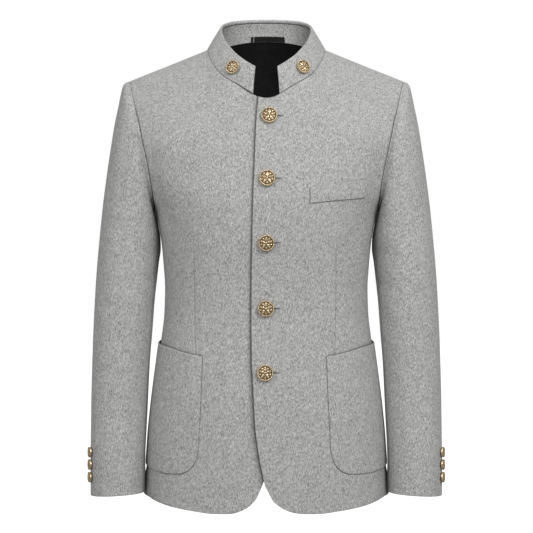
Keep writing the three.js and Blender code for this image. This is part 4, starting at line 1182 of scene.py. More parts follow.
def ring_curve(points):
    """Centripetal curve through points, run over by length."""
    p = np.array(points, float)
    p = np.vstack([2 * p[0] - p[1], p, 2 * p[-1] - p[-2]])
    t = np.linspace(0, 1, 401)
    at = t * (len(p) - 3)
    i = np.minimum(at.astype(int), len(p) - 4)
    w = (at - i)[:, None]
    a, b, c, d = p[i], p[i + 1], p[i + 2], p[i + 3]

    def root(v):
        return np.sqrt(np.linalg.norm(v, axis=1))[:, None]

    h0, h1, h2 = root(b - a), root(c - b), root(d - c)
    m1 = ((b - a) / h0 - (c - a) / (h0 + h1) + (c - b) / h1) * h1
    m2 = ((c - b) / h1 - (d - b) / (h1 + h2) + (d - c) / h2) * h1
    q = b + m1 * w + (-3 * b + 3 * c - 2 * m1 - m2) * w**2 + (2 * b - 2 * c + m1 + m2) * w**3
    run = np.concatenate([[0], np.cumsum(np.linalg.norm(np.diff(q, axis=0), axis=1))])
    run /= run[-1]
    return lambda k: np.stack([np.interp(k, run, q[:, j]) for j in range(3)], -1)


NECK_TURN = neck_under_collar.length / (neck_under_collar.length + back_neck.length)
HALF_RING = neck_under_collar.length + back_neck.length
top_ring = ring_curve(COLLAR_TOP)


def neck_ring(k):
    """Point of the neckline, from the collar's front end to the middle of the back."""
    k = np.clip(k, 0, 1)
    front = neck_under_collar(k / NECK_TURN)
    back = back_neck((1 - k) / (1 - NECK_TURN))
    q = np.where((k <= NECK_TURN)[..., None], front, back)
    return torso(q[..., 0], q[..., 1])


def collar_point(h, w):
    """Point of the collar's outside: h from one front end to the other, w up it."""
    h, w = np.broadcast_arrays(np.asarray(h, float), np.asarray(w, float))
    k = np.where(h > 1, 2 - h, h)
    foot = neck_ring(k) + np.array([0, 0, SEAM + 0.1])
    p = lerp(foot, top_ring(k), w[..., None])
    out = unit(np.stack([p[..., 0], p[..., 1] + 5, 0 * h], -1))
    p = p + out * (COLLAR_BOW * np.sin(np.pi * np.clip(w, 0, 1)))[..., None]
    p[..., 0] *= np.where(h > 1, -1, 1)
    return p


def collar_normal(h, w):
    around = collar_point(np.clip(h + 0.012, 0, 2), w) - collar_point(np.clip(h - 0.012, 0, 2), w)
    up = collar_point(h, w + 0.02) - collar_point(h, w - 0.02)
    return unit(np.cross(around, up))


def strip_piece(name, stations, outline, material, radius=0.9, side_shade=0.0):
    """Closed strip round the collar. outline: rows of height share, depth, full depth there, where
    the depth starts and how much painted shade the row has in a seam; side_shade is painted shade away from
    the back."""
    ends = np.minimum(stations - stations[0], stations[-1] - stations) * HALF_RING
    squeeze = rolled(ends, radius)
    h = stations[:, None] + 0 * outline[None, :, 0]
    w = outline[None, :, 0] + 0 * h
    depth = outline[None, :, 1] + 0 * h
    full = outline[None, :, 2]
    shift = outline[None, :, 3]
    pinch = np.minimum(squeeze[:, None], full * 0.42)
    depth = np.clip(depth, shift + pinch, shift + full - pinch)
    top = outline[:, 0].max()
    w = np.minimum(w, top - squeeze[:, None] / COLLAR_HEIGHT)
    p = collar_point(h, w) - collar_normal(h, w) * depth[..., None]
    count, around = p.shape[:2]
    points = p.reshape(-1, 3)
    # Painted shade towards the strip's front ends, and in its seam.
    away = side_shade * (1 - np.exp(-(((h - 1) / 0.3) ** 2)))
    painted_shade = np.maximum(outline[None, :, 4] + 0 * h, away)
    i, j = np.meshgrid(np.arange(count - 1), np.arange(around), indexing="ij")
    a, b = (i * around + j).ravel(), (i * around + (j + 1) % around).ravel()
    faces = outward(points, np.stack([a, b, b + around, a + around], 1)).tolist()
    mesh = bpy.data.meshes.new(name)
    mesh.from_pydata((points * MM).tolist(), [], faces)
    mark = mesh.attributes.new("painted_shade", "FLOAT", "POINT")
    mark.data.foreach_set("value", painted_shade.astype(np.float32).ravel())
    build = bmesh.new()
    build.from_mesh(mesh)
    bmesh.ops.holes_fill(build, edges=[e for e in build.edges if e.is_boundary], sides=0)
    bmesh.ops.triangulate(build, faces=[f for f in build.faces if len(f.verts) > 4])
    bmesh.ops.recalc_face_normals(build, faces=build.faces)
    build.to_mesh(mesh)
    build.free()
    mesh.materials.append(material)
    mesh.shade_smooth()
    piece = bpy.data.objects.new(name, mesh)
    bpy.context.scene.collection.objects.link(piece)
    return piece


def rounded_corner(w, depth, turn_from, turn_to, radius, steps=4):
    """Points of a small round corner of a strip's outline, in height share and depth."""
    a = np.radians(np.linspace(turn_from, turn_to, steps))
    return [(w + radius * np.cos(q) / COLLAR_HEIGHT, depth + radius * np.sin(q)) for q in a]


def collar_outline():
    """Outside up to the rim, over it, down the lip, back to the wall and down to the foot."""
    lip = 1 - COLLAR_LIP
    r = COLLAR_DEPTH / 2
    rows = []
    rows += [(w, d, WOOL) for w, d in rounded_corner(0.8 / COLLAR_HEIGHT, 0.8, 180, 270, 0.8)]
    rows += [(w, 0.0, WOOL) for w in np.linspace(0.05, lip - 0.02, 15)]
    rows += [(w, 0.0, COLLAR_DEPTH) for w in np.linspace(lip, 1 - r / COLLAR_HEIGHT, 4)[:-1]]
    rows += [(w, d, COLLAR_DEPTH) for w, d in rounded_corner(1 - r / COLLAR_HEIGHT, r, -90, 90, r, 9)]
    rows += [(lerp(1 - r / COLLAR_HEIGHT, lip + 0.02, k), COLLAR_DEPTH, COLLAR_DEPTH) for k in (0.5,)]
    corner = rounded_corner(lip + 0.5 / COLLAR_HEIGHT, COLLAR_DEPTH - 0.5, 90, 180, 0.5)
    rows += [(w, d, COLLAR_DEPTH) for w, d in corner]
    rows += [(lip, WOOL + 0.02, COLLAR_DEPTH)]
    rows += [(w, WOOL, WOOL) for w in np.linspace(lip - 0.02, 0.05, 8)]
    rows += [(0.0, WOOL, WOOL)]
    # The last column is painted shade in the seam under the lip.
    return np.array([(w, d, full, 0.0, 0.8 * (d > WOOL and abs(w - lip) < 0.02)) for w, d, full in rows])


def facing_outline():
    top = 1 - COLLAR_LIP - SEAM / 40
    near, far = WOOL + SEAM, COLLAR_DEPTH
    rows = [(0.0, near), (0.3, near), (0.6, near), (top - 0.012, near)]
    rows += [(top, near + 0.2)]
    rows += rounded_corner(top - 0.6 / COLLAR_HEIGHT, far - 0.6, 0, 90, 0.6)
    rows += [(w, far) for w in np.linspace(top - 0.05, 0.03, 16)]
    rows += [(0.0, far - 0.3)]
    # The last column is painted shade along the facing's top, in the seam under the collar's lip.
    return np.array([(w, d, COLLAR_FACING, near, 0.8 * (w > top - 0.012)) for w, d in rows])


def loop_outline():
    near, far = COLLAR_DEPTH + 0.9, COLLAR_DEPTH + 1.9
    low, high = 0.02, 0.3
    rows = [(w, near) for w in (low, 0.11, 0.2, high)]
    rows += rounded_corner(high, near + 0.5, -60, 60, 0.45, 3)
    rows += [(w, far + 0.12 * (w != high and w != low)) for w in (high, 0.24, 0.16, 0.08, low)]
    rows += rounded_corner(low, near + 0.5, 120, 240, 0.45, 3)
    return np.array([(w, d, far - near, near, 0.0) for w, d in rows])


def ring_stations(start, end, pitch, radius=0.9):
    """Stations of a strip, closer together at its two ends."""
    length = (end - start) * HALF_RING
    inner = np.linspace(start, end, max(3, int(length / pitch)))[1:-1]
    close = np.array(STEPS) * radius / HALF_RING
    inner = inner[(inner > start + close[-1] * 1.4) & (inner < end - close[-1] * 1.4)]
    return np.concatenate([start + close, inner, end - close[::-1]])


def face_height(r, a):
    """Height over a button's face, as a share of its radius, and its raised part: a dome with a
    rim, a ring of drops and a plain rosette."""
    dome = 0.39 - 0.1 * r**2.2

    def drops(count, near, far, wide, high, turn):
        side = np.abs(np.mod(a * count / (2 * np.pi) + turn, 1) - 0.5) * 2
        room = wide * np.sin(np.pi * np.clip((r - near) / (far - near), 0, 1)) ** 0.6
        inside = np.clip(1 - (side / np.maximum(room, 1e-3)) ** 2, 0, 1)
        return high * np.sqrt(inside) * (r > near) * (r < far)

    petal = drops(5, 0.16, 0.56, 0.86, 0.1, 0.25)
    small = drops(10, 0.5, 0.76, 0.6, 0.06, 0.0)
    boss = 0.11 * np.sqrt(np.clip(1 - (r / 0.15) ** 2, 0, 1))
    channel = -0.045 * np.exp(-(((r - 0.80) / 0.04) ** 2))
    rim = 0.07 * np.exp(-(((r - 0.91) / 0.06) ** 2))
    raised = petal + small + boss + rim
    return dome + raised + channel, raised


def button_points(diameter, foot):
    """Rings of points of a button on z = 0, from the middle of its face to the foot of its shank."""
    radius = diameter / 2
    turns = 96
    a = np.linspace(0, 2 * np.pi, turns, endpoint=False)
    shares_out = np.concatenate([np.linspace(0.012, 0.96, 44)])
    rings, marks = [], []
    for r in shares_out:
        h, raised = face_height(np.full_like(a, r), a)
        rings.append((r * radius, BUTTON_GAP + h * radius))
        marks.append(np.clip(1 - raised / 0.06, 0, 1) * ease((0.94 - r) / 0.08))
    edge = [(0.985, 0.285), (0.998, 0.24), (1.0, 0.17), (0.99, 0.1), (0.965, 0.045), (0.9, 0.0), (0.6, 0.0)]
    edge += [(SHANK / 2 / radius + 0.03, 0.0)]
    for r, h in edge:
        rings.append((r * radius, np.full_like(a, BUTTON_GAP + h * radius)))
        marks.append(np.full_like(a, 0.2 if h > 0.05 else 0.8))
    for r, z in ((SHANK / 2, BUTTON_GAP - 0.3), (SHANK / 2, -foot + 0.2), (SHANK / 2 - 0.3, -foot)):
        rings.append((r, np.full_like(a, z)))
        marks.append(np.full_like(a, 0.8))
    points = np.stack([np.stack([r * np.cos(a), r * np.sin(a), z], -1) for r, z in rings])
    return points, np.stack(marks)


def beads_tree():
    """Beads along a path: a node tree for stitches and for the cord round a button's rim."""
    name = "beads_along_path"
    if name in bpy.data.node_groups:
        return bpy.data.node_groups[name]
    tree = bpy.data.node_groups.new(name, "GeometryNodeTree")
    sockets = [
        ("Path", "NodeSocketGeometry"), ("Spacing", "NodeSocketFloat"), ("Length", "NodeSocketFloat"),
        ("Thickness", "NodeSocketFloat"), ("Material", "NodeSocketMaterial"),
    ]
    for title, kind in sockets:
        tree.interface.new_socket(name=title, in_out="INPUT", socket_type=kind)
    tree.interface.new_socket(name="Beads", in_out="OUTPUT", socket_type="NodeSocketGeometry")
    given, result = tree.nodes.new("NodeGroupInput"), tree.nodes.new("NodeGroupOutput")
    path = add(tree, "GeometryNodeMeshToCurve")
    even = add(tree, "GeometryNodeResampleCurve", mode="LENGTH")
    bead = add(tree, "GeometryNodeMeshUVSphere", {"Segments": 8, "Rings": 6, "Radius": 0.5})
    across = add(tree, "GeometryNodeInputNamedAttribute", {"Name": "across"}, data_type="FLOAT_VECTOR")
    turn = add(tree, "FunctionNodeAlignRotationToVector", axis="Z")
    size = add(tree, "ShaderNodeCombineXYZ")
    place = add(tree, "GeometryNodeInstanceOnPoints")
    real = add(tree, "GeometryNodeRealizeInstances")
    soft = add(tree, "GeometryNodeSetShadeSmooth")
    coat = add(tree, "GeometryNodeSetMaterial")
    link(tree, given.outputs["Path"], path.inputs["Mesh"])
    link(tree, path.outputs["Curve"], even.inputs["Curve"])
    link(tree, given.outputs["Spacing"], even.inputs["Length"])
    link(tree, even.outputs["Curve"], place.inputs["Points"])
    link(tree, bead.outputs["Mesh"], place.inputs["Instance"])
    link(tree, across.outputs["Attribute"], turn.inputs["Vector"])
    link(tree, turn.outputs["Rotation"], place.inputs["Rotation"])
    for socket, title in zip(size.inputs, ("Thickness", "Thickness", "Length")):
        link(tree, given.outputs[title], socket)
    link(tree, size.outputs[0], place.inputs["Scale"])
    link(tree, place.outputs["Instances"], real.inputs["Geometry"])
    link(tree, real.outputs["Geometry"], soft.inputs["Geometry"])
    link(tree, soft.outputs["Geometry"], coat.inputs["Geometry"])
    link(tree, given.outputs["Material"], coat.inputs["Material"])
    link(tree, coat.outputs["Geometry"], result.inputs["Beads"])
    return tree


def beads(name, loops, across, spacing, length, thickness, material):
    """Mesh of beads along closed loops of points, each lying along its own direction."""
    points, edges, directions, base = [], [], [], 0
    for loop, lay in zip(loops, across):
        count = len(loop)
        points += list(np.asarray(loop) * MM)
        directions += list(np.asarray(lay))
        edges += [(base + k, base + (k + 1) % count) for k in range(count)]
        base += count
    mesh = bpy.data.meshes.new(name + "_path")
    mesh.from_pydata([tuple(p) for p in points], edges, [])
    lay = mesh.attributes.new("across", "FLOAT_VECTOR", "POINT")
    lay.data.foreach_set("vector", np.asarray(directions, np.float32).ravel())
    path = bpy.data.objects.new(name + "_path", mesh)
    bpy.context.scene.collection.objects.link(path)
    modifier = path.modifiers.new("beads", "NODES")
    tree = beads_tree()
    values = {"Spacing": spacing, "Length": length, "Thickness": thickness, "Material": material}
    for item in tree.interface.items_tree:
        if item.item_type == "SOCKET" and item.in_out == "INPUT" and item.name in values:
            modifier[item.identifier] = values[item.name]
    modifier.node_group = tree
    for item in tree.interface.items_tree:
        if item.item_type == "SOCKET" and item.in_out == "INPUT" and item.name in values:
            modifier[item.identifier] = values[item.name]
    made = evaluated_mesh(path)
    bpy.data.objects.remove(path)
    made.name = name
    return made


def make_button(name, node, point, normal, diameter, foot, settings):
    """One button with its rope-like rim, seated on a point along a direction."""
    points, marks = button_points(diameter, foot)
    rings, turns = points.shape[:2]
    flat = points.reshape(-1, 3)
    i, j = np.meshgrid(np.arange(rings - 1), np.arange(turns), indexing="ij")
    a, b = (i * turns + j).ravel(), (i * turns + (j + 1) % turns).ravel()
    faces = np.stack([a, a + turns, b + turns, b], 1).tolist()
    top, foot_point = len(flat), len(flat) + 1
    centre = [0, 0, points[0, :, 2].mean()]
    flat = np.vstack([flat, centre, [0, 0, points[-1, 0, 2]]])
    last = (rings - 1) * turns
    faces += [[top, k, (k + 1) % turns] for k in range(turns)]
    faces += [[foot_point, last + (k + 1) % turns, last + k] for k in range(turns)]
    radius = diameter / 2
    angles = np.linspace(0, 2 * np.pi, 120, endpoint=False)
    rope_r, rope_z = 0.905 * radius, BUTTON_GAP + 0.375 * radius
    loop = np.stack([rope_r * np.cos(angles), rope_r * np.sin(angles), 0 * angles + rope_z], -1)
    tangent = np.stack([-np.sin(angles), np.cos(angles), 0 * angles], -1)
    radial = np.stack([np.cos(angles), np.sin(angles), 0 * angles], -1)
    lay = unit(tangent * 0.75 + radial * 0.66)
    turn = Vector((0, 0, 1)).rotation_difference(Vector(normal)).to_matrix()
    turn = np.array(turn)
    seat = np.asarray(point)
    flat = flat @ turn.T + seat
    brass = brass_material(settings)
    rope = beads(
        name + "_rope", [loop @ turn.T + seat], [lay @ turn.T],
        0.1 * radius * MM, 0.2 * radius * MM, 0.115 * radius * MM, brass,
    )
    mesh = bpy.data.meshes.new(name)
    mesh.from_pydata((flat * MM).tolist(), [], faces)
    mesh.materials.append(brass)
    mark = mesh.attributes.new("recess", "FLOAT", "POINT")
    values = np.concatenate([marks.ravel(), [0.1, 0.8]])
    mark.data.foreach_set("value", values.astype(np.float32))
    build = bmesh.new()
    build.from_mesh(mesh)
    build.from_mesh(rope)
    build.to_mesh(mesh)
    build.free()
    bpy.data.meshes.remove(rope)
    mesh.shade_smooth()
    mesh.update()
    piece = bpy.data.objects.new(name, mesh)
    bpy.context.scene.collection.objects.link(piece)
    stand_for(piece, node)
    return piece


# Settings


class BlazerCloth(bpy.types.PropertyGroup):
    """Sizes and colours of the cloth"""

    pitch: FloatProperty(
        name="Mesh pitch", description="Distance between points of the cloth", default=0.0036,
        min=0.002, max=0.02, unit="LENGTH", precision=4,
    )
    edge_radius: FloatProperty(
        name="Edge radius", description="Radius of the rolled edges of the wool", default=0.0009,
        min=0.0002, max=0.001, unit="LENGTH", precision=4,
    )
    seam_depth: FloatProperty(
        name="Seam depth", description="How far the wool dips at a seam", default=0.00055,
        min=0.0, max=0.002, unit="LENGTH", precision=5,
    )
    # The pocket's outline is dark from painted shade on its flared underside; this is the outline's width.
    patch_seam: FloatProperty(
        name="Patch seam", description="Width of the dark line round a pocket", default=0.0005,
        min=0.0, max=0.002, unit="LENGTH", precision=5,
    )
    dart_depth: FloatProperty(
        name="Dart depth", description="How far the wool dips along a dart", default=0.0006,
        min=0.0, max=0.002, unit="LENGTH", precision=5,
    )
    fleck_size: FloatProperty(
        name="Fleck size", description="Size of the light and dark flecks of the wool", default=0.0015,
        min=0.0003, max=0.01, unit="LENGTH", precision=4,
    )
    wool_light: FloatVectorProperty(
        name="Light wool", description="Colour of the light fibres", subtype="COLOR", size=4,
        default=(0.74, 0.74, 0.726, 1), min=0, max=1,
    )
    wool_dark: FloatVectorProperty(
        name="Dark wool", description="Colour of the dark fibres", subtype="COLOR", size=4,
        default=(0.19, 0.19, 0.186, 1), min=0, max=1,
    )
    # Painted shade: the colour that seams, creases and narrow gaps of the wool are darkened towards.
    painted_shade_colour: FloatVectorProperty(
        name="Creases", description="Colour of the wool deep in its seams", subtype="COLOR", size=4,
        default=(0.05, 0.05, 0.05, 1), min=0, max=1,
    )
    lining: FloatVectorProperty(
        name="Lining", description="Colour of the satin lining and the hanger loop", subtype="COLOR",
        size=4, default=(0.016, 0.016, 0.0165, 1), min=0, max=1,
    )


class BlazerTrim(bpy.types.PropertyGroup):
    """Sizes and colours of the buttons and the sewing"""

    brass: FloatVectorProperty(
        name="Brass", description="Colour of the buttons where they are raised", subtype="COLOR",
        size=4, default=(0.78, 0.62, 0.4, 1), min=0, max=1,
    )
    patina: FloatVectorProperty(
        name="Patina", description="Colour of the buttons where they are sunk", subtype="COLOR",
        size=4, default=(0.15, 0.105, 0.06, 1), min=0, max=1,
    )
    thread: FloatVectorProperty(
        name="Thread", description="Colour of the buttonhole thread", subtype="COLOR",
        size=4, default=(0.38, 0.38, 0.374, 1), min=0, max=1,
    )
    stitch_spacing: FloatProperty(
        name="Stitch spacing", description="Distance between buttonhole stitches", default=0.00075,
        min=0.0003, max=0.005, unit="LENGTH", precision=5,
    )
    stitch_length: FloatProperty(
        name="Stitch length", description="Length of a buttonhole stitch", default=0.0019,
        min=0.0005, max=0.005, unit="LENGTH", precision=4,
    )
    stitch_thickness: FloatProperty(
        name="Stitch thickness", description="Thickness of the buttonhole thread", default=0.00065,
        min=0.0001, max=0.002, unit="LENGTH", precision=5,
    )


class BlazerStage(bpy.types.PropertyGroup):
    """Camera, light and floor"""

    lens: FloatProperty(
        name="Lens", description="Focal length of the camera", default=136.8, min=20, max=300, unit="CAMERA",
    )
    distance: FloatProperty(
        name="Distance", description="Camera's distance in front of the shoulders", default=3.2,
        min=1, max=10, unit="LENGTH",
    )
    height: FloatProperty(
        name="Height", description="Camera's height from the shoulders", default=-0.342,
        min=-2, max=2, unit="LENGTH",
    )
    fill: FloatProperty(
        name="Fill light", description="Brightness of the light from all round", default=0.41, min=0, max=5,
    )
    key: FloatProperty(
        name="Key light", description="Power of the large soft light in front", default=36, min=0, max=500,
        unit="POWER",
    )


# Operators


class BLAZER_OT_fronts(bpy.types.Operator):
    """Make the two fronts with their darts and buttonholes"""

    bl_idname = "blazer.fronts"
    bl_label = "Fronts"

    def execute(self, context):
        settings = context.scene.blazer_cloth
        grids = front_grids(settings)
        names = {1: "front_left", -1: "front_right"}
        for side, node in names.items():

            def relief(grid, distances, side=side):
                height, _ = torso_relief(grid, distances)
                groove, painted_shade = dart_relief(grid, side, settings)
                # Painted shade: in the dart's groove, above the pocket's mouth, beside the sleeve and beside
                # the upper front's edge.
                painted_shade = np.maximum(painted_shade, mouth_shadow(grid, side))
                sleeve_painted_shade = close_shade(grid, sleeve_gap(grid[..., :3]), 0.5, 7.0)
                painted_shade = np.maximum(painted_shade, sleeve_painted_shade * ease((-600 - grid[..., 2]) / 60))
                if side < 0:
                    height = height + under_push(-grid[..., 0])
                    painted_shade = np.maximum(painted_shade, edge_shadow(grid))
                return height + groove, painted_shade

            sides = (False, True, False, True)
            inner = (75, -1, 32, -1)
            piece, p = cloth_piece(node + "_cloth", grids[side], settings, relief, sides, inner)
            if side > 0:
                cut_buttonholes(piece)
            stand_for(piece, node)
        return {"FINISHED"}


class BLAZER_OT_backs(bpy.types.Operator):
    """Make the two backs"""

    bl_idname = "blazer.backs"
    bl_label = "Backs"

    def execute(self, context):
        settings = context.scene.blazer_cloth
        places = back_net()
        pitch = settings.pitch / MM

        def up_column(t):
            q = places(np.full_like(t, 0.7), t)
            return torso(q[:, 0], q[:, 1])

        def across_row(s):
            q = places(s, np.full_like(s, 0.45))
            return torso(q[:, 0], q[:, 1])

        rows = shares(up_column, [0, ARM_SHARE, 1], pitch)
        columns = shares(across_row, [0, BACK_NECK_COLUMN, 1], pitch)
        grid = panel_grid(places, columns, rows, SEWN / 2)
        for side, node in ((1, "back_left"), (-1, "back_right")):
            placed = grid if side > 0 else mirrored(grid)
            sides = (True, True, False, True)
            piece, p = cloth_piece(node + "_cloth", placed, settings, torso_relief, sides, (-1, -1, 32, -1))
            stand_for(piece, node)
        return {"FINISHED"}


class BLAZER_OT_lining(bpy.types.Operator):
    """Make the lining of the back with its pleat"""

    bl_idname = "blazer.lining"
    bl_label = "Back lining"

    def execute(self, context):
        settings = context.scene.blazer_cloth
        places = back_net()
        pitch = settings.pitch / MM * 1.2

        def up_column(t):
            q = places(np.full_like(t, 0.5), t)
            return torso(q[:, 0], q[:, 1])

        rows = shares(up_column, [0.03, 0.8, 0.996], pitch)
        close = np.array([0.0006, 0.004, 0.008, 0.0125, 0.0145, 0.0155, 0.0175, 0.022])
        columns = np.concatenate([close, np.linspace(0.03, 0.975, int(250 / pitch))])
        half = panel_grid(places, columns, rows, SEWN / 2)
        grid = add_rims(np.concatenate([mirrored(half)[:, ::-1], half], 1), 0.45)
        p, n, t = grid[..., :3], grid[..., 3:6], grid[..., 6]
        slack = lerp(3.0, 0.7, np.clip((t - 0.8) / 0.13, 0, 1))
        distances = edge_distances(p)
        top, round_off = distances[3], rolled(np.minimum.reduce(distances), 0.45)
        lift = -fold_relief(p, torso_lines(LINING_FOLDS, True)) * ease((top - 1) / 16)
        x = p[..., 0] - PLEAT_X
        pleat = np.where(x < 0, 1.8 * np.exp(x / 14), 0.2 * np.exp(-x / 6)) * ease((top + 4) / 24)
        depth = WOOL + slack + lift + pleat
        level = n * [1, 1, 0]
        level /= np.linalg.norm(level, axis=-1, keepdims=True)
        at_neck = ease((LAP - top) / LAP) * ease((LAP_END - np.abs(p[..., 0])) / LAP_FADE)
        lap = ([0, 0, LINING_RISE] - level * LINING_OVER) * at_neck[..., None]
        outer = p - n * (depth + round_off)[..., None] + lap
        inner = p - n * (depth + LINING - round_off)[..., None] + lap
        points, faces, _ = closed_shell(outer, inner)
        piece = make_piece("back_lining_cloth", points, outward(points, faces), [lining_material(settings)])
        stand_for(piece, "back_lining")
        return {"FINISHED"}


class BLAZER_OT_sleeves(bpy.types.Operator):
    """Make the upper and under pieces of both sleeves"""

    bl_idname = "blazer.sleeves"
    bl_label = "Sleeves"

    def execute(self, context):
        settings = context.scene.blazer_cloth
        under_end = tuple(a + 360 for a in SLEEVE_BACK_SEAM)
        spans = {
            "sleeve_top": (SLEEVE_BACK_SEAM, SLEEVE_FRONT_SEAM),
            "sleeve_under": (SLEEVE_FRONT_SEAM, under_end),
        }
        for stem, (first, last) in spans.items():
            grid = sleeve_grid(first, last, settings)
            for side, word in ((1, "left"), (-1, "right")):
                node = stem + "_" + word
                lines = sleeve_lines(side)

                def relief(grid, distances, lines=lines):
                    folds = fold_relief(grid[..., :3], lines)
                    hold = ease(distances[2] / 26) * ease((distances[3] - 6) / 30) * outline_hold(grid)
                    inner = ease(-grid[..., 3] * np.sign(grid[..., 0]) / 0.5 + 0.3)
                    swell = np.exp(-((grid[..., 4] / 0.3) ** 2)) * inner * ease((-648 - grid[..., 2]) / 15)
                    # Painted shade on the sleeve's inner side where it faces the body.
                    shade = close_shade(grid, body_gap(grid[..., :3]), 0.6, 9.0) * inner
                    return folds * hold + 0.6 * swell, shade

                placed = grid if side > 0 else mirrored(grid)
                piece, p = cloth_piece(
                    node + "_cloth", placed, settings, relief, (True, True, True, False), (-1, -1, -1, 38)
                )
                stand_for(piece, node)
        return {"FINISHED"}


class BLAZER_OT_collar(bpy.types.Operator):
    """Make the stand-up collar and the band inside it"""

    bl_idname = "blazer.collar"
    bl_label = "Collar"

    def execute(self, context):
        settings = context.scene.blazer_cloth
        stations = ring_stations(0, 2, 2.6)
        wool = wool_material(settings)
        collar = strip_piece("collar_cloth", stations, collar_outline(), wool)
        # The facing gets painted shade towards its front ends.
        facing = strip_piece("collar_facing_cloth", stations, facing_outline(), wool, 0.6, 0.3)
        h, w = np.meshgrid(np.linspace(0, 2, 200), np.linspace(0, 1, 12))
        band = collar_point(h, w)
        lip = 1 + COLLAR_LIP
        height = float(lengths(band, 0)[-1].max()) * MM
        body = ["front_left", "front_right", "back_left", "back_right"]
        for piece, node, tall, under in (
            (collar, "collar", height * (lip + 0.06), body),
            (facing, "collar_facing", height * (1 - COLLAR_LIP), ["collar"]),
        ):
            stand_for(piece, node)
        return {"FINISHED"}


class BLAZER_OT_hanger_loop(bpy.types.Operator):
    """Make the loop for hanging, at the back of the neck"""

    bl_idname = "blazer.hanger_loop"
    bl_label = "Hanger loop"

    def execute(self, context):
        settings = context.scene.blazer_cloth
        satin = lining_material(settings, "black_tape", 0.3)
        strip = strip_piece("loop_strip", ring_stations(0.885, 1.076, 1.6, 0.4), loop_outline(), satin, 0.4)
        end = strip_piece("loop_end", ring_stations(1.083, 1.097, 0.8, 0.4), loop_outline(), satin, 0.4)
        build = bmesh.new()
        build.from_mesh(strip.data)
        build.from_mesh(end.data)
        build.to_mesh(strip.data)
        build.free()
        strip.data.shade_smooth()
        strip.name = strip.data.name = "hanger_loop_strip"
        bpy.data.objects.remove(end)
        stand_for(strip, "hanger_loop")
        return {"FINISHED"}


class BLAZER_OT_pockets(bpy.types.Operator):
    """Make the two patch pockets"""

    bl_idname = "blazer.pockets"
    bl_label = "Patch pockets"

    def execute(self, context):
        settings = context.scene.blazer_cloth
        for word, side in (("left", 1), ("right", -1)):
            node = "patch_pocket_" + word
            grid = pocket_grid(settings, side)
            piece, p = patch_piece(node + "_cloth", grid, settings, 1.1, (1, 1, 1, 1.6), side < 0)
            stand_for(piece, node)
        return {"FINISHED"}


class BLAZER_OT_welt(bpy.types.Operator):
    """Make the welt of the breast pocket"""

    bl_idname = "blazer.welt"
    bl_label = "Breast welt"

    def execute(self, context):
        settings = context.scene.blazer_cloth
        piece, p = patch_piece("chest_welt_cloth", welt_grid(), settings, 0.0, (0.8, 0.6, 1.1, 0.9))
        stand_for(piece, "chest_welt")
        return {"FINISHED"}


class BLAZER_OT_buttonholes(bpy.types.Operator):
    """Work the stitches round the five buttonholes"""

    bl_idname = "blazer.buttonholes"
    bl_label = "Buttonhole stitches"

    def execute(self, context):
        trim = context.scene.blazer_trim
        loops, lays = [], []
        for x, z in FRONT_BUTTONS:
            outline = [(2.9 * np.cos(a), 2.9 * np.sin(a)) for a in np.radians(np.linspace(35, 325, 18))]
            slit = np.linspace(3.6, HOLE_END - 0.4, 18)
            side = np.linspace(1.35, 0.95, 18)
            outline += list(zip(slit, -side))
            outline += [(HOLE_END + 0.9, -0.5), (HOLE_END + 0.9, 0.5)]
            outline += list(zip(slit[::-1], side[::-1]))
            flat = np.array(outline)
            px, pz = x + flat[:, 0], z + flat[:, 1]
            angle = angle_at(px, pz)
            p, n = torso(angle, pz), torso_normal(angle, pz)
            p[:, 1] -= SEWN / 2
            relief = fold_relief(p, TORSO_LINES)
            tangent = unit(np.roll(p, -1, 0) - np.roll(p, 1, 0))
            loops.append(p + n * (relief - 0.05)[:, None])
            lays.append(unit(np.cross(n, tangent)))
        made = beads(
            "buttonhole_stitches", loops, lays, trim.stitch_spacing, trim.stitch_length,
            trim.stitch_thickness, thread_material(trim),
        )
        piece = bpy.data.objects.new("buttonhole_stitches", made)
        context.scene.collection.objects.link(piece)
        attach(piece, "root")
        return {"FINISHED"}


class BLAZER_OT_buttons(bpy.types.Operator):
    """Make the buttons of the front, the collar and the cuffs"""

    bl_idname = "blazer.buttons"
    bl_label = "Buttons"

    def execute(self, context):
        trim = context.scene.blazer_trim
        for i, (x, z) in enumerate(FRONT_BUTTONS):
            angle = angle_at(x, z)
            node = "front_button_" + str(i + 1)
            place, out = torso(angle, z), torso_normal(angle, z)
            make_button(node + "_brass", node, place, out, 25, UNDER_PUSH - 0.5, trim)
        for node, (h, w) in COLLAR_BUTTONS.items():
            at = (np.array(h), np.array(w))
            make_button(node + "_brass", node, collar_point(*at), collar_normal(*at), 22, -0.5, trim)
        for side, word in ((1, "left"), (-1, "right")):
            for i, z in enumerate(CUFF_BUTTONS):
                u = np.linspace(0.7, 1, 600)
                line = sleeve_point(u, CUFF_BUTTON_ANGLE)
                at = np.interp(-z, -line[:, 2], u)
                p = sleeve_point(at, CUFF_BUTTON_ANGLE) * np.array([side, 1, 1])
                n = sleeve_normal(at, CUFF_BUTTON_ANGLE) * np.array([side, 1, 1])
                node = "cuff_button_" + word + "_" + str(i + 1)
                make_button(node + "_brass", node, p, n, 16.6, -0.5, trim)
        return {"FINISHED"}


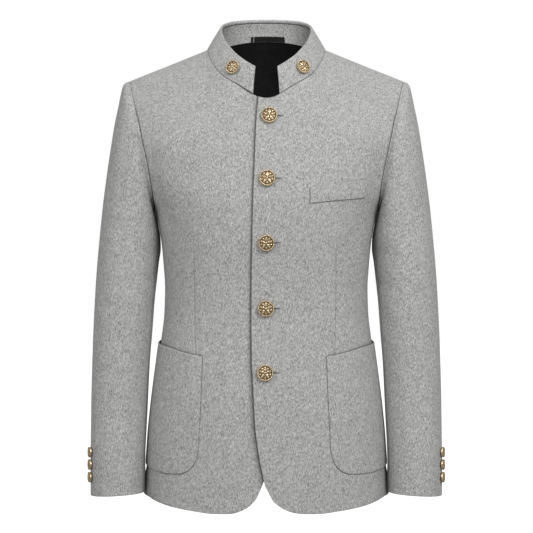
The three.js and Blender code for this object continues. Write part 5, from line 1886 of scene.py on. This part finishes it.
class BLAZER_OT_stage(bpy.types.Operator):
    """Set the camera, the soft light and the pale floor"""

    bl_idname = "blazer.stage"
    bl_label = "Stage"

    def execute(self, context):
        scene = context.scene
        settings = scene.blazer_stage
        camera = bpy.data.cameras.new("photo_camera")
        camera.lens = settings.lens
        camera.sensor_width = 36
        camera.clip_end = 100
        holder = bpy.data.objects.new("photo_camera", camera)
        holder.location = (0.0003, -settings.distance, settings.height)
        holder.rotation_euler = (np.pi / 2, 0, 0)
        scene.collection.objects.link(holder)
        scene.camera = holder
        scene.view_settings.view_transform = "Standard"

        world = bpy.data.worlds.new("studio")
        scene.world = world
        world.use_nodes = True
        tree = world.node_tree
        tree.nodes.clear()
        fill = add(tree, "ShaderNodeBackground", {"Color": (1, 1, 1, 1), "Strength": settings.fill})
        white = add(tree, "ShaderNodeBackground", {"Color": (1, 1, 1, 1), "Strength": 1.0})
        path = add(tree, "ShaderNodeLightPath")
        mix = add(tree, "ShaderNodeMixShader")
        output = add(tree, "ShaderNodeOutputWorld")
        link(tree, path.outputs["Is Camera Ray"], mix.inputs[0])
        link(tree, fill.outputs[0], mix.inputs[1])
        link(tree, white.outputs[0], mix.inputs[2])
        link(tree, mix.outputs[0], output.inputs[0])

        for name, place, size, share in LIGHTS:
            lamp = bpy.data.lights.new(name, "AREA")
            lamp.energy = settings.key * share
            lamp.size = size
            holder = bpy.data.objects.new(name, lamp)
            holder.location = place
            aim = Vector((0, 0, -0.2)) - Vector(place)
            holder.rotation_euler = aim.to_track_quat("-Z", "Y").to_euler()
            scene.collection.objects.link(holder)

        place, target, cone, share = NECK_LIGHT
        lamp = bpy.data.lights.new("neck_light", "SPOT")
        lamp.energy = settings.key * share
        lamp.spot_size = np.radians(cone)
        lamp.spot_blend = 1.0
        lamp.shadow_soft_size = 0.05
        holder = bpy.data.objects.new("neck_light", lamp)
        holder.location = place
        holder.rotation_euler = (Vector(target) - Vector(place)).to_track_quat("-Z", "Y").to_euler()
        scene.collection.objects.link(holder)

        floor_mesh = bpy.data.meshes.new("floor")
        build = bmesh.new()
        bmesh.ops.create_circle(build, cap_ends=True, segments=96, radius=14)
        bmesh.ops.translate(build, verts=build.verts, vec=(0, 0, -1.0))
        build.to_mesh(floor_mesh)
        build.free()
        pale = bpy.data.materials.new("pale_floor")
        tree = new_tree(pale)
        constants = {"Base Color": (0.3, 0.3, 0.3, 1), "Roughness": 0.9, "Emission Color": (1, 1, 1, 1)}
        shader = finish_surface(tree, constants)
        seen_bright = add(tree, "ShaderNodeLightPath").outputs["Is Camera Ray"]
        link(tree, seen_bright, shader.inputs["Emission Strength"])
        floor_mesh.materials.append(pale)
        floor = bpy.data.objects.new("floor", floor_mesh)
        scene.collection.objects.link(floor)
        return {"FINISHED"}


class BLAZER_PT_sidebar(bpy.types.Panel):
    """Lists the blazer's pieces and settings"""

    bl_idname = "BLAZER_PT_sidebar"
    bl_label = "Mandarin collar blazer"
    bl_space_type = "VIEW_3D"
    bl_region_type = "UI"
    bl_category = "Blazer"

    def draw(self, context):
        layout = self.layout
        for settings in (context.scene.blazer_cloth, context.scene.blazer_trim, context.scene.blazer_stage):
            box = layout.box()
            for name in settings.__annotations__:
                box.prop(settings, name)
        for operator in OPERATORS:
            layout.operator(operator.bl_idname)


SETTINGS = {"blazer_cloth": BlazerCloth, "blazer_trim": BlazerTrim, "blazer_stage": BlazerStage}
OPERATORS = (
    BLAZER_OT_stage,
    BLAZER_OT_fronts,
    BLAZER_OT_backs,
    BLAZER_OT_lining,
    BLAZER_OT_sleeves,
    BLAZER_OT_collar,
    BLAZER_OT_hanger_loop,
    BLAZER_OT_pockets,
    BLAZER_OT_welt,
    BLAZER_OT_buttonholes,
    BLAZER_OT_buttons,
)


def register():
    for kind in (*SETTINGS.values(), *OPERATORS, BLAZER_PT_sidebar):
        bpy.utils.register_class(kind)
    for name, kind in SETTINGS.items():
        setattr(bpy.types.Scene, name, PointerProperty(type=kind))


def unregister():
    for name in SETTINGS:
        delattr(bpy.types.Scene, name)
    for kind in reversed((*SETTINGS.values(), *OPERATORS, BLAZER_PT_sidebar)):
        bpy.utils.unregister_class(kind)


def main():
    """Makes every piece in order."""
    register()
    bpy.ops.blazer.stage()
    bpy.ops.blazer.fronts()
    bpy.ops.blazer.backs()
    bpy.ops.blazer.lining()
    bpy.ops.blazer.sleeves()
    bpy.ops.blazer.collar()
    bpy.ops.blazer.hanger_loop()
    bpy.ops.blazer.pockets()
    bpy.ops.blazer.welt()
    bpy.ops.blazer.buttonholes()
    bpy.ops.blazer.buttons()


if __name__ == "__main__":
    main()
